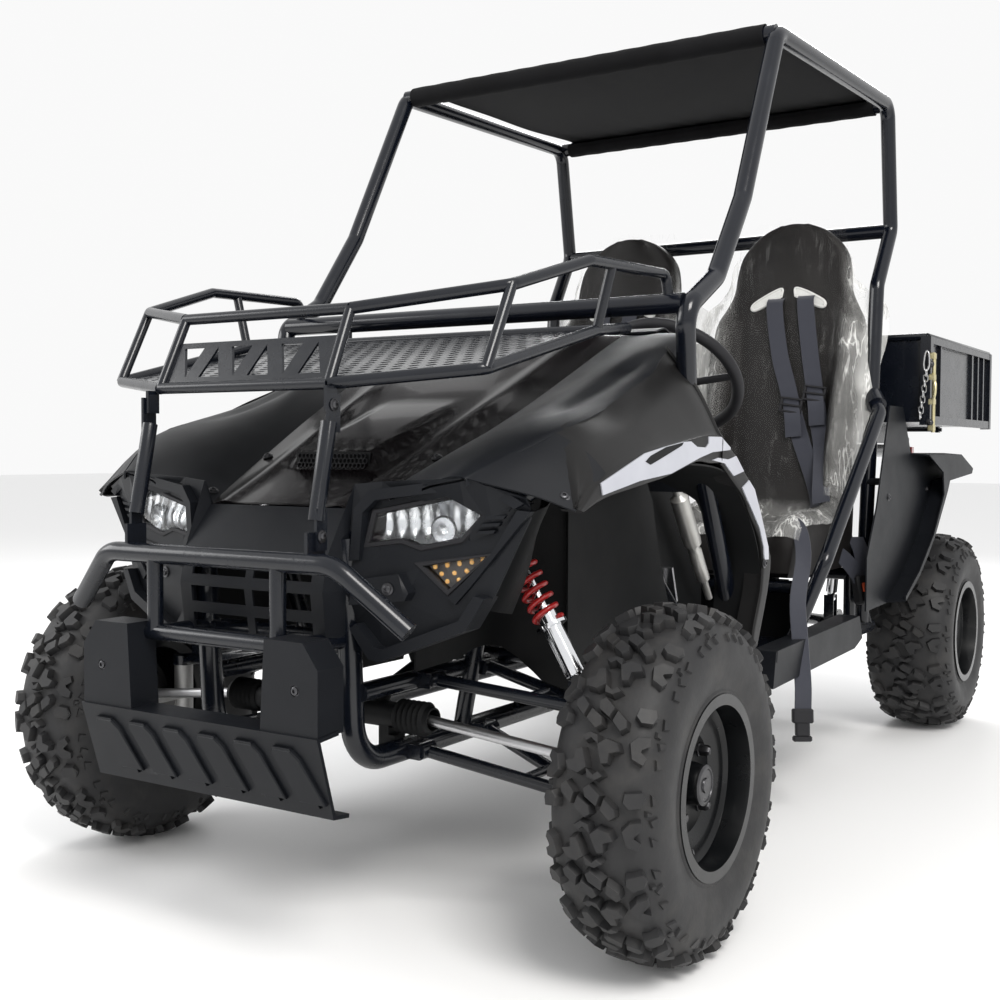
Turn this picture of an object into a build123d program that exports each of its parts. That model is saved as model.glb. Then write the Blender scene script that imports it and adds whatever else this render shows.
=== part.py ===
from build123d import *
import math
import os

os.makedirs("parts", exist_ok=True)

# Two-seat side by side utility vehicle.  All sizes are in millimetres.
# Points are written (x, station, z): x is positive to the vehicle's left, station runs
# rearward from the front axle, z is up from the ground.  The whole model is shifted by
# front_axle_y when it is written, so that the origin lies under the middle of its length.

# ---------------------------------------------------------------- driving sizes
wheelbase = 1944.0
front_axle_y = -969.0

tyre_radius = 273.0
bead_radius = 127.0
rim_flange_radius = 140.0
rim_inset = 5.0
rim_wall = 4.0
front_tyre_width = 172.0
rear_tyre_width = 228.0
front_wheel_x = 579.0
rear_wheel_x = 479.0
tyre_bulge_radius = 205.0
tread_flats = 24
crown_share = 0.88
lug_height = 15.0
lug_length = 52.0
lug_width_share = 0.38
lug_taper = 0.86
lug_sink = 6.0
axle_z = math.sqrt(tyre_radius**2 - (lug_length / 2) ** 2)
rim_well_depth = 17.0
front_disc_offset = 20.0
rear_disc_offset = 40.0

frame_tube = 19.0
cross_tube = 15.0
hinge_tube = 16.5
rail_x = 150.0
rail_z = 285.0
sill_rail_x = 430.0
sill_rail_z = 325.0
floor_thickness = 3.0

cage_tube = 18.0
cage_x = 470.0
dash_bar_station = 300.0
dash_bar_z = 1035.0
roof_front_station = 725.0
roof_front_z = 1618.0
roof_rear_station = 1487.0
roof_rear_z = 1647.0
back_bar_station = 1538.0
back_bar_z = 1340.0
canopy_thickness = 4.0
soft_gap = 0.4

lamp_plane_station = -289.0
lamp_plane_slope = 0.23
lamp_pocket_grow = 1.02
liner_x = 332.0
column_opening_radius = 34.0
mesh_rows = 20
mesh_columns = 24
mesh_pitch_x = 32.0
mesh_open_x = 24.0
mesh_open_y = 18.0

bumper_tube = 15.5
rack_tube = 9.5
strut_tube = 12.0
panel = 4.0

kingpin_x = 470.0
kingpin_radius = 18.0
spindle_radius = 14.0
running_gap = 0.05
pivot_gap = 0.5
rack_z = 342.0
rack_bar_radius = 11.0

bed_half_width = 550.0
bed_front = 1602.0
bed_rear = 2336.0
bed_floor_z = 852.0
bed_top_z = 1076.0
bed_sheet = 3.0
bed_hinge_station = 2262.0
bed_hinge_z = 812.0
tailgate_hinge_z = 846.0
hinge_pin_radius = 7.0

seat_x = 240.0
tow_station = 2330.0
tow_z = 560.0
tow_thickness = 10.0
tow_hole_radius = 10.0

wheel_centre = (225.0, 745.0, 932.0)
wheel_rim_radius = 150.0
wheel_tube_radius = 13.0
column_joint = (225.0, 452.0, 640.0)
pinion_end = (100.0, -98.0, 375.0)
shaft_radius = 11.0
column_sleeve_share = 0.23

rack_station = -118.0
rack_housing_radius = 21.0
arm_end = (462.0, -95.0)
arm_pad_z = 300.0
upper_rail_x = 165.0
upper_arm_z = 400.0
lower_bush_x = rail_x + frame_tube + 14.3
upper_bush_x = upper_rail_x + cross_tube + 12.3
lower_arm_half = 95.0
upper_arm_half = 80.0
lower_joint_z = 226.0
upper_joint_z = 352.0
joint_boss = 18.0
shock_top = (274.0, 8.0, 640.0)
shock_foot = (420.0, 8.0, 396.0)
rear_shock_top = (296.0, 1750.0, 742.0)
rear_shock_foot = (232.0, 1835.0, 350.0)
swing_bush_x = 176.0
swing_pin_radius = 11.0

spindle_end_x = 627.0
spring_radius = 21.5
spring_turns = 6.5
spring_low_share = 0.40
spring_high_share = 0.88
sprocket_x = -112.0
brake_x = 100.0
big_sprocket = 84.0
small_sprocket = 30.0
engine_sprocket_station = 1400.0
engine_sprocket_z = 372.0

rear_axle_station = wheelbase
rear_axle_radius = 15.0
swing_pivot_station = 1510.0
swing_pivot_z = 336.0
swing_arm_x = 205.0


# ---------------------------------------------------------------- shared operations
def save(name, *solids):
    """Write one node, moved from stations to the vehicle's frame."""
    moved = [s.moved(Location((0, front_axle_y, 0))) for s in solids]
    export_step(Compound(children=moved) if len(moved) > 1 else moved[0], f"parts/{name}.step")


def solids_of(*shapes):
    return [s for shape in shapes for s in shape.solids()]


def mirrored(*shapes):
    """The shapes and their mirror images across the vehicle's middle plane."""
    return list(shapes) + [mirror(s, about=Plane.YZ) for s in shapes]


def fused(shapes):
    total = shapes[0]
    for shape in shapes[1:]:
        total = total + shape
    return total


def across(x_low, x_high, station, z, radius):
    """A round bar lying across the vehicle."""
    return rod((x_low, station, z), (x_high, station, z), radius)


def rod(start, end, radius):
    axis = Vector(*end) - Vector(*start)
    return Solid.make_cylinder(radius, axis.length, Plane(origin=start, z_dir=axis))


def tube(points, radius, bend):
    """A round tube along straight runs joined by bends."""
    if len(points) == 2:
        return rod(points[0], points[1], radius)
    path = FilletPolyline(*points, radius=bend)
    start = Plane(origin=path @ 0, z_dir=path % 0)
    return sweep(start * Circle(radius), path=path).solid()


def box(low, high):
    size = [high[i] - low[i] for i in range(3)]
    return Solid.make_box(*size, Plane(origin=low))


def side_plate(outline, x_inner, thickness):
    """A plate seen from the side: outline of (station, z), from x_inner outwards."""
    face = make_face(Polyline(*[(x_inner, s, z) for s, z in outline], close=True))
    return Solid.extrude(face.face(), Vector(thickness, 0, 0))


def front_plate(outline, station, depth):
    """A plate seen from the front: outline of (x, z), from the station rearwards."""
    face = make_face(Polyline(*[(x, station, z) for x, z in outline], close=True))
    return Solid.extrude(face.face(), Vector(0, depth, 0))


def flat_plate(outline, z, thickness):
    """A plate seen from above: outline of (x, station), from z upwards."""
    face = make_face(Polyline(*[(x, s, z) for x, s in outline], close=True))
    return Solid.extrude(face.face(), Vector(0, 0, thickness))


def flat_faces(corners):
    """One flat face through the corners, or two triangles where four corners aren't flat."""
    points = [Vector(*corner) for corner in corners]
    points = [point for i, point in enumerate(points) if (point - points[i - 1]).length > 1e-6]
    if len(points) < 3:
        return []
    if len(points) == 4:
        normal = (points[1] - points[0]).cross(points[2] - points[0]).normalized()
        if abs(normal.dot(points[3] - points[0])) > 1e-5:
            # the higher diagonal, so that both faces of a sheet fold the same way
            if (points[0] + points[2]).Z < (points[1] + points[3]).Z:
                points = points[1:] + points[:1]
            halves = (points[:3], [points[0], points[2], points[3]])
            return [Face(Wire.make_polygon(half, close=True)) for half in halves]
    return [Face(Wire.make_polygon(points, close=True))]


def skin(sections):
    """A flat-faced body through closed sections, each a list of (x, station, z)."""
    faces = []
    for near, far in zip(sections, sections[1:]):
        for i in range(len(near)):
            faces += flat_faces([near[i - 1], near[i], far[i], far[i - 1]])
    for end in (sections[0], sections[-1]):
        faces.append(Face(Wire.make_polygon([Vector(*point) for point in end], close=True)))
    return Solid(Shell(faces))


def strip(points, thickness):
    """The closed side outline of a bent sheet: its points and their mitred offset to the left."""
    normals = []
    for (s0, z0), (s1, z1) in zip(points, points[1:]):
        length = math.hypot(s1 - s0, z1 - z0)
        normals.append(((z0 - z1) / length, (s1 - s0) / length))
    back = []
    for i, (s, z) in enumerate(points):
        before = normals[max(i - 1, 0)]
        after = normals[min(i, len(normals) - 1)]
        reach = thickness / (1 + before[0] * after[0] + before[1] * after[1])
        back.append((s + (before[0] + after[0]) * reach, z + (before[1] + after[1]) * reach))
    return list(points) + back[::-1]


def sheet(rows, drop):
    """A sheet of stated offset below or behind its rows of points, closed section by section."""
    offset = Vector(*drop)
    sections = []
    for row in rows:
        back = [tuple(Vector(*p) + offset) for p in reversed(row)]
        sections.append(list(row) + back)
    return skin(sections)


# ---------------------------------------------------------------- wheels
def ring_points(x, radius):
    """One cross-section of the tyre's carcass: a polygon whose corners lie at the radius."""
    turns = [2 * math.pi * (flat + 0.5) / tread_flats for flat in range(tread_flats)]
    return [(x, radius * math.cos(turn), radius * math.sin(turn)) for turn in turns]


def lug(x, radius, skew, width, turn):
    """A tapered tread block, skewed on its flat of the carcass."""
    corners = ((-0.5, -0.5), (0.5, -0.5), (0.5, 0.5), (-0.5, 0.5))
    levels = ((1.0, -lug_sink), (lug_taper, lug_height))
    block = skin(
        [[(u * width * share, v * lug_length * share, z) for u, v in corners] for share, z in levels]
    )
    block = block.moved(Location((x, 0, radius), (0, 0, skew)))
    return block.rotate(Axis.X, turn)


def tyre(width):
    """A knobbly tyre about the X axis, filled to the rim that closes it."""
    half = width / 2
    root = math.sqrt(tyre_radius**2 - (lug_length / 2) ** 2) - lug_height
    corner = root / math.cos(math.pi / tread_flats)
    # carcass sections: x, radius
    wall = (
        (half - rim_inset - rim_wall, rim_flange_radius + 3),
        (half, tyre_bulge_radius),
        (crown_share * half, corner),
    )
    sections = [(-x, radius) for x, radius in wall] + [(x, radius) for x, radius in reversed(wall)]
    body = skin([ring_points(x, radius) for x, radius in sections])
    body = body - rod((-half, 0, 0), (half, 0, 0), bead_radius)
    flat = 360 / tread_flats
    # tread rows: x as a share of half the width, skew, which of every two flats carries a block
    rows = ((-0.65, 12, 0), (-0.22, -28, 1), (0.22, 28, 0), (0.65, -12, 1))
    lugs = []
    for share, skew, first in rows:
        for step in range(first, tread_flats, 2):
            lugs.append(lug(share * half, root, skew, lug_width_share * half, flat * step + 90))
    return body.fuse(*lugs).solid()


def rim(width, disc_offset, bore_radius):
    """A pressed steel rim about the X axis, with its dish open towards +X."""
    half = width / 2 - rim_inset
    well = bead_radius - rim_well_depth
    # barrel: x, radius, first its outer face and then back along its inner face
    barrel = (
        (-half, rim_flange_radius),
        (-half + rim_wall, rim_flange_radius),
        (-half + rim_wall, bead_radius),
        (-half + 36, bead_radius),
        (-half + 46, well),
        (half - 46, well),
        (half - 36, bead_radius),
        (half - rim_wall, bead_radius),
        (half - rim_wall, rim_flange_radius),
        (half, rim_flange_radius),
        (half, bead_radius - rim_wall),
        (half - 38, bead_radius - rim_wall),
        (half - 48, well - rim_wall),
        (-half + 48, well - rim_wall),
        (-half + 38, bead_radius - rim_wall),
        (-half, bead_radius - rim_wall),
    )
    ring = make_face(Polyline(*[(x, r, 0) for x, r in barrel], close=True))
    body = Solid.revolve(ring.face(), 360, Axis.X)
    # disc with a raised middle and a hub cap: x, radius
    disc = (
        (disc_offset, bore_radius),
        (disc_offset + 30, bore_radius),
        (disc_offset + 30, 0.0),
        (disc_offset + 34, 0.0),
        (disc_offset + 34, 30.0),
        (disc_offset + 8, 34.0),
        (disc_offset + 8, 78.0),
        (disc_offset + 20, well - rim_wall / 2),
        (disc_offset + 14, well - rim_wall / 2),
        (disc_offset, 78.0),
    )
    middle = make_face(Polyline(*[(x, r, 0) for x, r in disc], close=True))
    body = body + Solid.revolve(middle.face(), 360, Axis.X)
    for step in range(4):
        angle = math.radians(45 + 90 * step)
        y, z = 60 * math.cos(angle), 60 * math.sin(angle)
        body = body - rod((disc_offset - 10, y, z), (disc_offset + 40, y, z), 9.0)
    return body.solid()


def place_wheel(shape, x, station):
    """Stand a wheel made about the X axis at its axle; the right one is a mirror image."""
    placed = shape.moved(Location((abs(x), station, axle_z)))
    return placed if x > 0 else mirror(placed, about=Plane.YZ)


sides = (("left", 1), ("right", -1))
front_tyre = tyre(front_tyre_width)
rear_tyre = tyre(rear_tyre_width)
front_rim = rim(front_tyre_width, front_disc_offset, spindle_radius + running_gap)
rear_rim = rim(rear_tyre_width, rear_disc_offset, rear_axle_radius)
for side, sign in sides:
    save(f"front_tyre_{side}", place_wheel(front_tyre, sign * front_wheel_x, 0))
    save(f"front_rim_{side}", place_wheel(front_rim, sign * front_wheel_x, 0))
save("rear_tyres", *[place_wheel(rear_tyre, sign * rear_wheel_x, rear_axle_station) for _, sign in sides])
save("rear_rims", *[place_wheel(rear_rim, sign * rear_wheel_x, rear_axle_station) for _, sign in sides])


# ---------------------------------------------------------------- steel frame
def both_sides(points):
    """A list of points and its mirror image across the middle plane."""
    return [points, [(-x, station, z) for x, station, z in points]]


nose_station = -235.0
nose_top = (rail_x, nose_station - 20, 640.0)
tower_top = (250.0, 10.0, 668.0)
cowl_side = (445.0, 345.0, 880.0)
bed_rail_x = 300.0
bed_rail_z = 778.0
floor_z = sill_rail_z + frame_tube
cross_z = 312.0
seat_rail_z = 470.0
seat_rail_stations = (985.0, 1370.0)
rear_post_station = 1560.0

frame_runs = []
for run in (
    # main rails from the nose, under the cab and up behind the engine
    [nose_top, (rail_x, nose_station, rail_z), (rail_x, 1560, rail_z), (rail_x, 1630, bed_rail_z)],
    [(sill_rail_x, 640, sill_rail_z), (sill_rail_x, 1530, sill_rail_z)],
    [(bed_rail_x, 1530, bed_rail_z), (bed_rail_x, bed_hinge_station + 10, bed_rail_z)],
    [(sill_rail_x, 1508, sill_rail_z), (bed_rail_x, rear_post_station, bed_rail_z)],
):
    frame_runs.append(tube(run, frame_tube, 70.0))
for run in (
    [nose_top, tower_top, cowl_side],
    [(rail_x, 60, rail_z), (tower_top[0], tower_top[1] + 10, tower_top[2] - 10)],
    [(upper_rail_x, nose_station - 4, upper_arm_z), (upper_rail_x, 118, upper_arm_z)],
    [(sill_rail_x, seat_rail_stations[0], sill_rail_z), (sill_rail_x, seat_rail_stations[0], seat_rail_z)],
    [(sill_rail_x, seat_rail_stations[1], sill_rail_z), (sill_rail_x, seat_rail_stations[1], seat_rail_z)],
):
    for start, end in zip(run, run[1:]):
        frame_runs.append(rod(start, end, cross_tube))
for x_end, station, z, radius in (
    (rail_x, nose_station - 10, 480.0, cross_tube),
    (rail_x, nose_top[1], nose_top[2], cross_tube),
    (tower_top[0], tower_top[1], tower_top[2], cross_tube),
    (sill_rail_x, 665.0, cross_z, cross_tube),
    (sill_rail_x, 1090.0, cross_z, cross_tube),
    (sill_rail_x, 1355.0, cross_z, cross_tube),
    (cowl_side[0] + 4, cowl_side[1], cowl_side[2], cross_tube + 0.5),
    (swing_bush_x + 20, swing_pivot_station, swing_pivot_z, swing_pin_radius),
    (sill_rail_x, seat_rail_stations[0], seat_rail_z, cross_tube),
    (sill_rail_x, seat_rail_stations[1], seat_rail_z, cross_tube),
    (bed_rail_x, 1630.0, bed_rail_z, cross_tube),
    (bed_rail_x, bed_hinge_station, bed_rail_z, hinge_tube),
):
    frame_runs.append(rod((0, station, z), (x_end, station, z), radius))
# pivot brackets: x, thickness, station, half length, low z, high z
for x, thick, station, half_length, low_z, high_z in (
    (rail_x, 10, swing_pivot_station, 16, rail_z, swing_pivot_z + 16),
    (shock_top[0] - 4, 36, shock_top[1] - 16, 2.5, shock_top[2] - 12, tower_top[2]),
    (shock_top[0] - 4, 36, shock_top[1] + 16, 2.5, shock_top[2] - 12, tower_top[2]),
    (rear_shock_top[0], 24, rear_shock_top[1] - 16, 2.5, rear_shock_top[2] - 12, bed_rail_z),
    (rear_shock_top[0], 24, rear_shock_top[1] + 16, 2.5, rear_shock_top[2] - 12, bed_rail_z),
):
    low = (x - thick / 2, station - half_length, low_z)
    frame_runs.append(box(low, (x + thick / 2, station + half_length, high_z)))
for x, z, reach in ((lower_bush_x, rail_z, lower_arm_half), (upper_bush_x, upper_arm_z, upper_arm_half)):
    for station in (-reach - 21, -reach + 21, reach - 21, reach + 21):
        low = (x - 32, station - 2.5, z - 12)
        frame_runs.append(box(low, (x + 8, station + 2.5, z + 12)))
# hinge plate and pin for the bed, and the tow plate's hanger
low = (bed_rail_x - 6, bed_hinge_station - 16, bed_rail_z + 8)
frame_runs.append(box(low, (bed_rail_x + 6, bed_hinge_station + 16, bed_hinge_z + 14)))
pin_low = (bed_rail_x - 12, bed_hinge_station, bed_hinge_z)
frame_runs.append(rod(pin_low, (bed_rail_x + 34, bed_hinge_station, bed_hinge_z), hinge_pin_radius))
frame_runs.append(rod((60, bed_hinge_station, bed_rail_z), (60, tow_station, tow_z + 8), 12.0))
frame_runs.append(box((0, tow_station - 45, tow_z), (75, tow_station + 40, tow_z + tow_thickness)))
half_frame = fused(frame_runs)
main_frame = half_frame + mirror(half_frame, about=Plane.YZ)

# the steering column's sleeve, hung from the cowl tube
column_line = Vector(*wheel_centre) - Vector(*column_joint)
sleeve_middle = Vector(*column_joint) + column_line * column_sleeve_share
hanger_top = (sleeve_middle.X, cowl_side[1], cowl_side[2])
main_frame = main_frame + rod(sleeve_middle, hanger_top, 9.0)
half_sleeve = column_line.normalized() * 34
main_frame = main_frame + rod(sleeve_middle - half_sleeve, sleeve_middle + half_sleeve, shaft_radius + 7)
tow_hole = rod((0, tow_station + 10, tow_z - 20), (0, tow_station + 10, tow_z + 40), tow_hole_radius)
main_frame = main_frame - tow_hole
main_frame = main_frame - rod(column_joint, wheel_centre, shaft_radius + running_gap)
main_frame = main_frame.solid()

# ---------------------------------------------------------------- roll cage
cage_line = [
    (sill_rail_x, 658.0, floor_z - 4),
    cowl_side,
    (cage_x - 2, 283.0, 1022.0),
    (cage_x, 410.0, 1092.0),
    (cage_x, 535.0, 1256.0),
    (cage_x - 7, roof_front_station, roof_front_z),
    (cage_x + 2, roof_rear_station, roof_rear_z),
    (cage_x, back_bar_station, back_bar_z),
    (cage_x - 4, 1440.0, 1190.0),
    (cage_x - 4, 1412.0, 915.0),
    (sill_rail_x, 1475.0, floor_z - 4),
]
hip_line = [
    (cage_x - 4, 1412.0, 915.0),
    (500.0, 1364.0, 872.0),
    (500.0, 968.0, 537.0),
    (sill_rail_x, 935.0, floor_z - 4),
]
cage_left = tube(cage_line, cage_tube, 42.0).fuse(tube(hip_line, cage_tube - 2, 42.0))
hip_step = Vector(*hip_line[1]) - Vector(*hip_line[0])
hip_sleeve = rod(Vector(*hip_line[0]), Vector(*hip_line[0]) + hip_step * 0.62, cage_tube + 6)
cage_left = cage_left.fuse(hip_sleeve)
cage_left = (cage_left - main_frame).solids().sort_by(SortBy.VOLUME)[-1]
cage_right = mirror(cage_left, about=Plane.YZ)
crossbars = []
for x_end, station, z, radius in (
    (cage_x - 12, dash_bar_station, dash_bar_z, cage_tube),
    (cage_x - 7, roof_front_station, roof_front_z, cage_tube),
    (cage_x + 2, roof_rear_station, roof_rear_z, cage_tube),
    (cage_x, back_bar_station, back_bar_z, cage_tube),
):
    bar = rod((-x_end, station, z), (x_end, station, z), radius)
    crossbars.append((bar - cage_left - cage_right).solids().sort_by(SortBy.VOLUME)[-1])
save("main_frame", main_frame)
save("cage_left", cage_left)
save("cage_right", cage_right)
save("cage_crossbars", *crossbars)

# canopy: a cloth sheet with a sleeve round the front and the rear roof tube
sleeve_inner = cage_tube + soft_gap
sleeve_outer = sleeve_inner + canopy_thickness
canopy_half = cage_x - cage_tube - 12
run_length = roof_rear_station - roof_front_station
rise = roof_rear_z - roof_front_z
slope = math.hypot(run_length, rise)
top = [
    (roof_front_station - rise / slope * sleeve_outer, roof_front_z + run_length / slope * sleeve_outer),
    (roof_rear_station - rise / slope * sleeve_outer, roof_rear_z + run_length / slope * sleeve_outer),
]
canopy = side_plate(strip(top[::-1], canopy_thickness), -canopy_half, 2 * canopy_half)
for station, z in ((roof_front_station, roof_front_z), (roof_rear_station, roof_rear_z)):
    canopy = canopy + rod((-canopy_half, station, z), (canopy_half, station, z), sleeve_outer)
for station, z in ((roof_front_station, roof_front_z), (roof_rear_station, roof_rear_z)):
    canopy = canopy - rod((-canopy_half - 1, station, z), (canopy_half + 1, station, z), sleeve_inner)
save("roof_canopy", canopy.solid())

# ---------------------------------------------------------------- body panels
# hood: ridges flank a lower middle; columns: station, then (x, z) from the middle out
hood_sections = (
    (-240.0, ((0, 684), (150, 684), (300, 722), (362, 734))),
    (-100.0, ((0, 742), (190, 744), (320, 795), (430, 802))),
    (130.0, ((0, 850), (235, 850), (330, 872), (425, 864))),
    (412.0, ((0, 985), (265, 985), (350, 985), (420, 971))),
    (452.0, ((0, 996), (275, 996), (352, 992), (412, 966))),
)


def hood_rows(first, last):
    """The hood's rows of points between two columns, mirrored across the middle."""
    rows = []
    for station, half in hood_sections:
        left = [(x, station, z) for x, z in half[first:last]]
        rows.append(left)
    return rows


middle_rows = [[(-x, st, z) for x, st, z in row[::-1]] + row[1:] for row in hood_rows(0, 2)]
hood_middle = sheet(middle_rows, (0, 0, -panel))
hood_side = sheet(hood_rows(1, 4), (0, 0, -panel))
hood_corner = sheet(
    [
        [(362, -240.0, 734), (506, -172.0, 688)],
        [(430, -100.0, 802), (512, -92.0, 742)],
    ],
    (0, 0, -panel),
)
hood_shell = hood_side + hood_corner
vent = box((-62, -40, 600), (62, 12, 900))
vent_bars = [box((-62, -36 + 12 * step, 740), (62, -31 + 12 * step, 830)) for step in range(4)]
hood_middle = hood_middle - vent.fuse(*vent_bars)
save("hood_panel", hood_middle.solid())
save("hood", *mirrored(hood_shell.solid()))

# front fascia; columns: x, then (station, z) from the top edge down
fascia_columns = (
    (0.0, ((-240, 684), (-300, 616), (-312, 560), (-300, 478))),
    (150.0, ((-240, 684), (-298, 616), (-310, 560), (-300, 478))),
    (160.0, ((-246, 722), (-262, 612), (-268, 560), (-252, 500))),
    (210.0, ((-242, 727), (-246, 620), (-250, 560), (-240, 452))),
    (350.0, ((-240, 734), (-210, 640), (-214, 590), (-212, 508))),
    (386.0, ((-228, 727), (-200, 655), (-203, 605), (-200, 560))),
    (440.0, ((-206, 711), (-190, 692), (-188, 684), (-188, 676))),
    (508.0, ((-171, 688), (-171, 686), (-171, 684), (-171, 682))),
)
fascia_left = sheet(
    [[(x, station, z) for station, z in column] for x, column in fascia_columns[:-1]],
    (0, panel, 0),
)
fascia = fascia_left.fuse(mirror(fascia_left, about=Plane.YZ))

# lamp outlines of (x, z), on a plane that runs back as it goes out
lamp_outline = ((187, 630), (200, 680), (322, 706), (372, 680), (338, 642), (275, 628), (244, 638))
signal_outline = ((278, 602), (380, 620), (318, 566))


def lamp_body(outline, front, back, grow):
    """A prism through a lamp's outline, grown about its middle, whose faces follow the fascia."""
    middle_x = sum(x for x, _ in outline) / len(outline)
    middle_z = sum(z for _, z in outline) / len(outline)
    sections = []
    for depth in (front, back):
        section = []
        for x, z in outline:
            station = lamp_plane_station + lamp_plane_slope * x + depth
            section.append((middle_x + (x - middle_x) * grow, station, middle_z + (z - middle_z) * grow))
        sections.append(section)
    return skin(sections)


fascia = fascia - hood_middle - hood_shell - mirror(hood_shell, about=Plane.YZ) - main_frame
fascia = fascia.solids().sort_by(SortBy.VOLUME)[-1]
for outline in (lamp_outline, signal_outline):
    pocket = lamp_body(outline, -60, 60, lamp_pocket_grow)
    fascia = fascia - pocket - mirror(pocket, about=Plane.YZ)
# grille slots between the bumper tubes
for row in range(3):
    low_z = 486 + 44 * row
    for sign in (-1, 1):
        slot = box((8, -330, low_z), (126, -285, low_z + 26))
        fascia = fascia - (slot if sign > 0 else mirror(slot, about=Plane.YZ))
# raised forms on the face: outlines of (x, z), then how far each stands out
brow = (
    (166, 606), (174, 686), (198, 714), (356, 735), (378, 735), (438, 698),
    (424, 690), (374, 720), (356, 719), (208, 699), (188, 680), (182, 608),
)
signal_bar = ((446, 686), (356, 574), (332, 546), (322, 556), (386, 622), (426, 688))
cheek = ((180, 578), (252, 590), (268, 562), (262, 550), (172, 540))
lip = (
    (384, 558), (356, 510), (218, 455), (202, 459), (172, 503), (182, 512),
    (211, 478), (224, 475), (344, 524), (368, 562),
)
slats = [
    [(390 - 6 * row, 700 - 11 * row), (424 - 8 * row, 702 - 11 * row),
     (420 - 8 * row, 697 - 11 * row), (387 - 6 * row, 695 - 11 * row)]
    for row in range(5)
]
raised_forms = [(brow, 16), (signal_bar, 12), (cheek, 26), (lip, 24)]
raised_forms += [(slat, 9) for slat in slats]
for outline, reach in raised_forms:
    form = lamp_body(outline, -reach, 14, 1.0)
    form = form - hood_middle - hood_shell - main_frame
    form = form.solids().sort_by(SortBy.VOLUME)[-1]
    fascia = fascia + form + mirror(form, about=Plane.YZ)
save("front_fascia", fascia.solids().sort_by(SortBy.VOLUME)[-1])

lens = lamp_body(lamp_outline, 0, 6, 1.0)
bowl = lamp_body(lamp_outline, 6, 58, 1.0) - lamp_body(lamp_outline, 6, 52, 0.92)
signal_lens = lamp_body(signal_outline, 0, 22, 1.0)
save("headlamp_lenses", *mirrored(lens))
bowl = (bowl - main_frame).solids().sort_by(SortBy.VOLUME)[-1]
save("headlamps", *mirrored(bowl))
save("turn_signals", *mirrored(signal_lens))

# front fender: a sloping shoulder from the hood's crease to an upright skirt round the arch
fender_x = 511.0
shoulder_rows = [
    [(431, -99, 801), (fender_x, -92, 742)],
    [(428, 46, 838), (fender_x, 46, 776)],
    [(425, 237, 906), (fender_x, 237, 800)],
    [(422, 331, 940), (fender_x, 331, 816)],
    [(421, 410, 968), (fender_x, 404, 852)],
    [(440, 455, 952), (fender_x, 446, 866)],
]
skirt_outline = (
    (-171, 690), (-92, 742), (46, 776), (237, 800), (331, 816), (404, 852), (446, 866),
    (486, 815), (575, 739), (648, 638), (684, 556), (681, 475), (639, 399),
    (603, 406), (627, 482), (597, 563), (490, 665), (392, 732), (237, 756), (-87, 706), (-158, 686),
)
shoulder = sheet(shoulder_rows, (0, 0, -panel))
skirt = side_plate(skirt_outline, fender_x - panel, panel)
fender = shoulder + skirt - cage_left - main_frame - hood_shell
save("front_fenders", *mirrored(fender.solids().sort_by(SortBy.VOLUME)[-1]))

# wheel well liner: roof, back wall and the footwell's side wall
liner_line = [(110, 752), (440, 752), (600, 655), (676, 545), (680, 440), (668, 352)]
liner = side_plate(strip(liner_line, 3.0), liner_x, fender_x - panel - 1 - liner_x)
wall_outline = [(110, 752)] + liner_line[1:] + [(620, 300), (200, 300), (110, 420)]
liner = liner + side_plate(wall_outline, liner_x, 3.0)
liner = liner - cage_left - main_frame - fender
save("wheel_well_liners", *mirrored(liner.solids().sort_by(SortBy.VOLUME)[-1]))

# dashboard, a bent sheet from the cowl down to the knees, with the column's opening
dash_line = [(454, 1004), (500, 1014), (548, 985), (592, 870), (580, 690)]
dash = side_plate(strip(dash_line[::-1], panel), -408, 816)
column_cut = rod(column_joint, wheel_centre, column_opening_radius)
dash = dash - column_cut
save("dash_panel", dash.solid())

# floor: footwell pan, toe board and tunnel under the seats
floor_line = [(452, 560), (560, 470), (668, floor_z + floor_thickness), (1120, floor_z + floor_thickness)]
pan = side_plate(strip(floor_line, -floor_thickness), -liner_x, 2 * liner_x)
side_pan = box((liner_x, 690, floor_z), (448, 1120, floor_z + floor_thickness))
pan = pan.fuse(*mirrored(side_pan))
save("floor_pan", (pan - cage_left - cage_right - main_frame).solids().sort_by(SortBy.VOLUME)[-1])

# sill covers and rear quarter panels
sill_outline = ((652, 300), (668, 374), (1225, 386), (1250, 330), (1190, 312), (905, 306))
sill = side_plate(sill_outline, sill_rail_x + frame_tube, 500 - sill_rail_x - frame_tube)
sill = sill - cage_left - liner - fender
save("sill_panels", *mirrored(sill.solids().sort_by(SortBy.VOLUME)[-1]))

quarter_outline = (
    (1262, 392), (1432, 396), (1560, 448), (1650, 500), (1720, 548), (1845, 662), (1866, 690),
    (2133, 708), (2148, 732), (2002, 772), (1640, 772), (1560, 890), (1440, 890), (1340, 640), (1262, 520),
)
quarter = side_plate(quarter_outline, 500, panel)
flare_rows = [[(502, station, z), (552, station, z + 7)] for station, z in quarter_outline[1:8]]
quarter = quarter + sheet(flare_rows, (0, 0, panel))
# the shelf behind: a top sheet and an outer skirt down to the flare
shelf_rows = [[(502, station, z - 4), (552, station, z - 8)] for station, z in quarter_outline[8:11]]
quarter = quarter + sheet(shelf_rows, (0, 0, panel))
skirt_outline = (
    (1640, 766), (2002, 766), (2148, 726), (2135, 712), (1868, 696), (1845, 668), (1720, 556), (1650, 508),
    (1560, 456), (1432, 404), (1432, 416), (1556, 468), (1700, 556), (1806, 660), (1792, 720),
)
quarter = quarter + side_plate(skirt_outline, 549, panel)
for station, z in ((1425.0, 700.0), (1462.0, 430.0)):
    quarter = quarter + rod((455, station, z), (501, station, z), 9.0)
quarter = quarter - cage_left - main_frame
save("quarter_panels", *mirrored(quarter.solids().sort_by(SortBy.VOLUME)[-1]))

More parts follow.
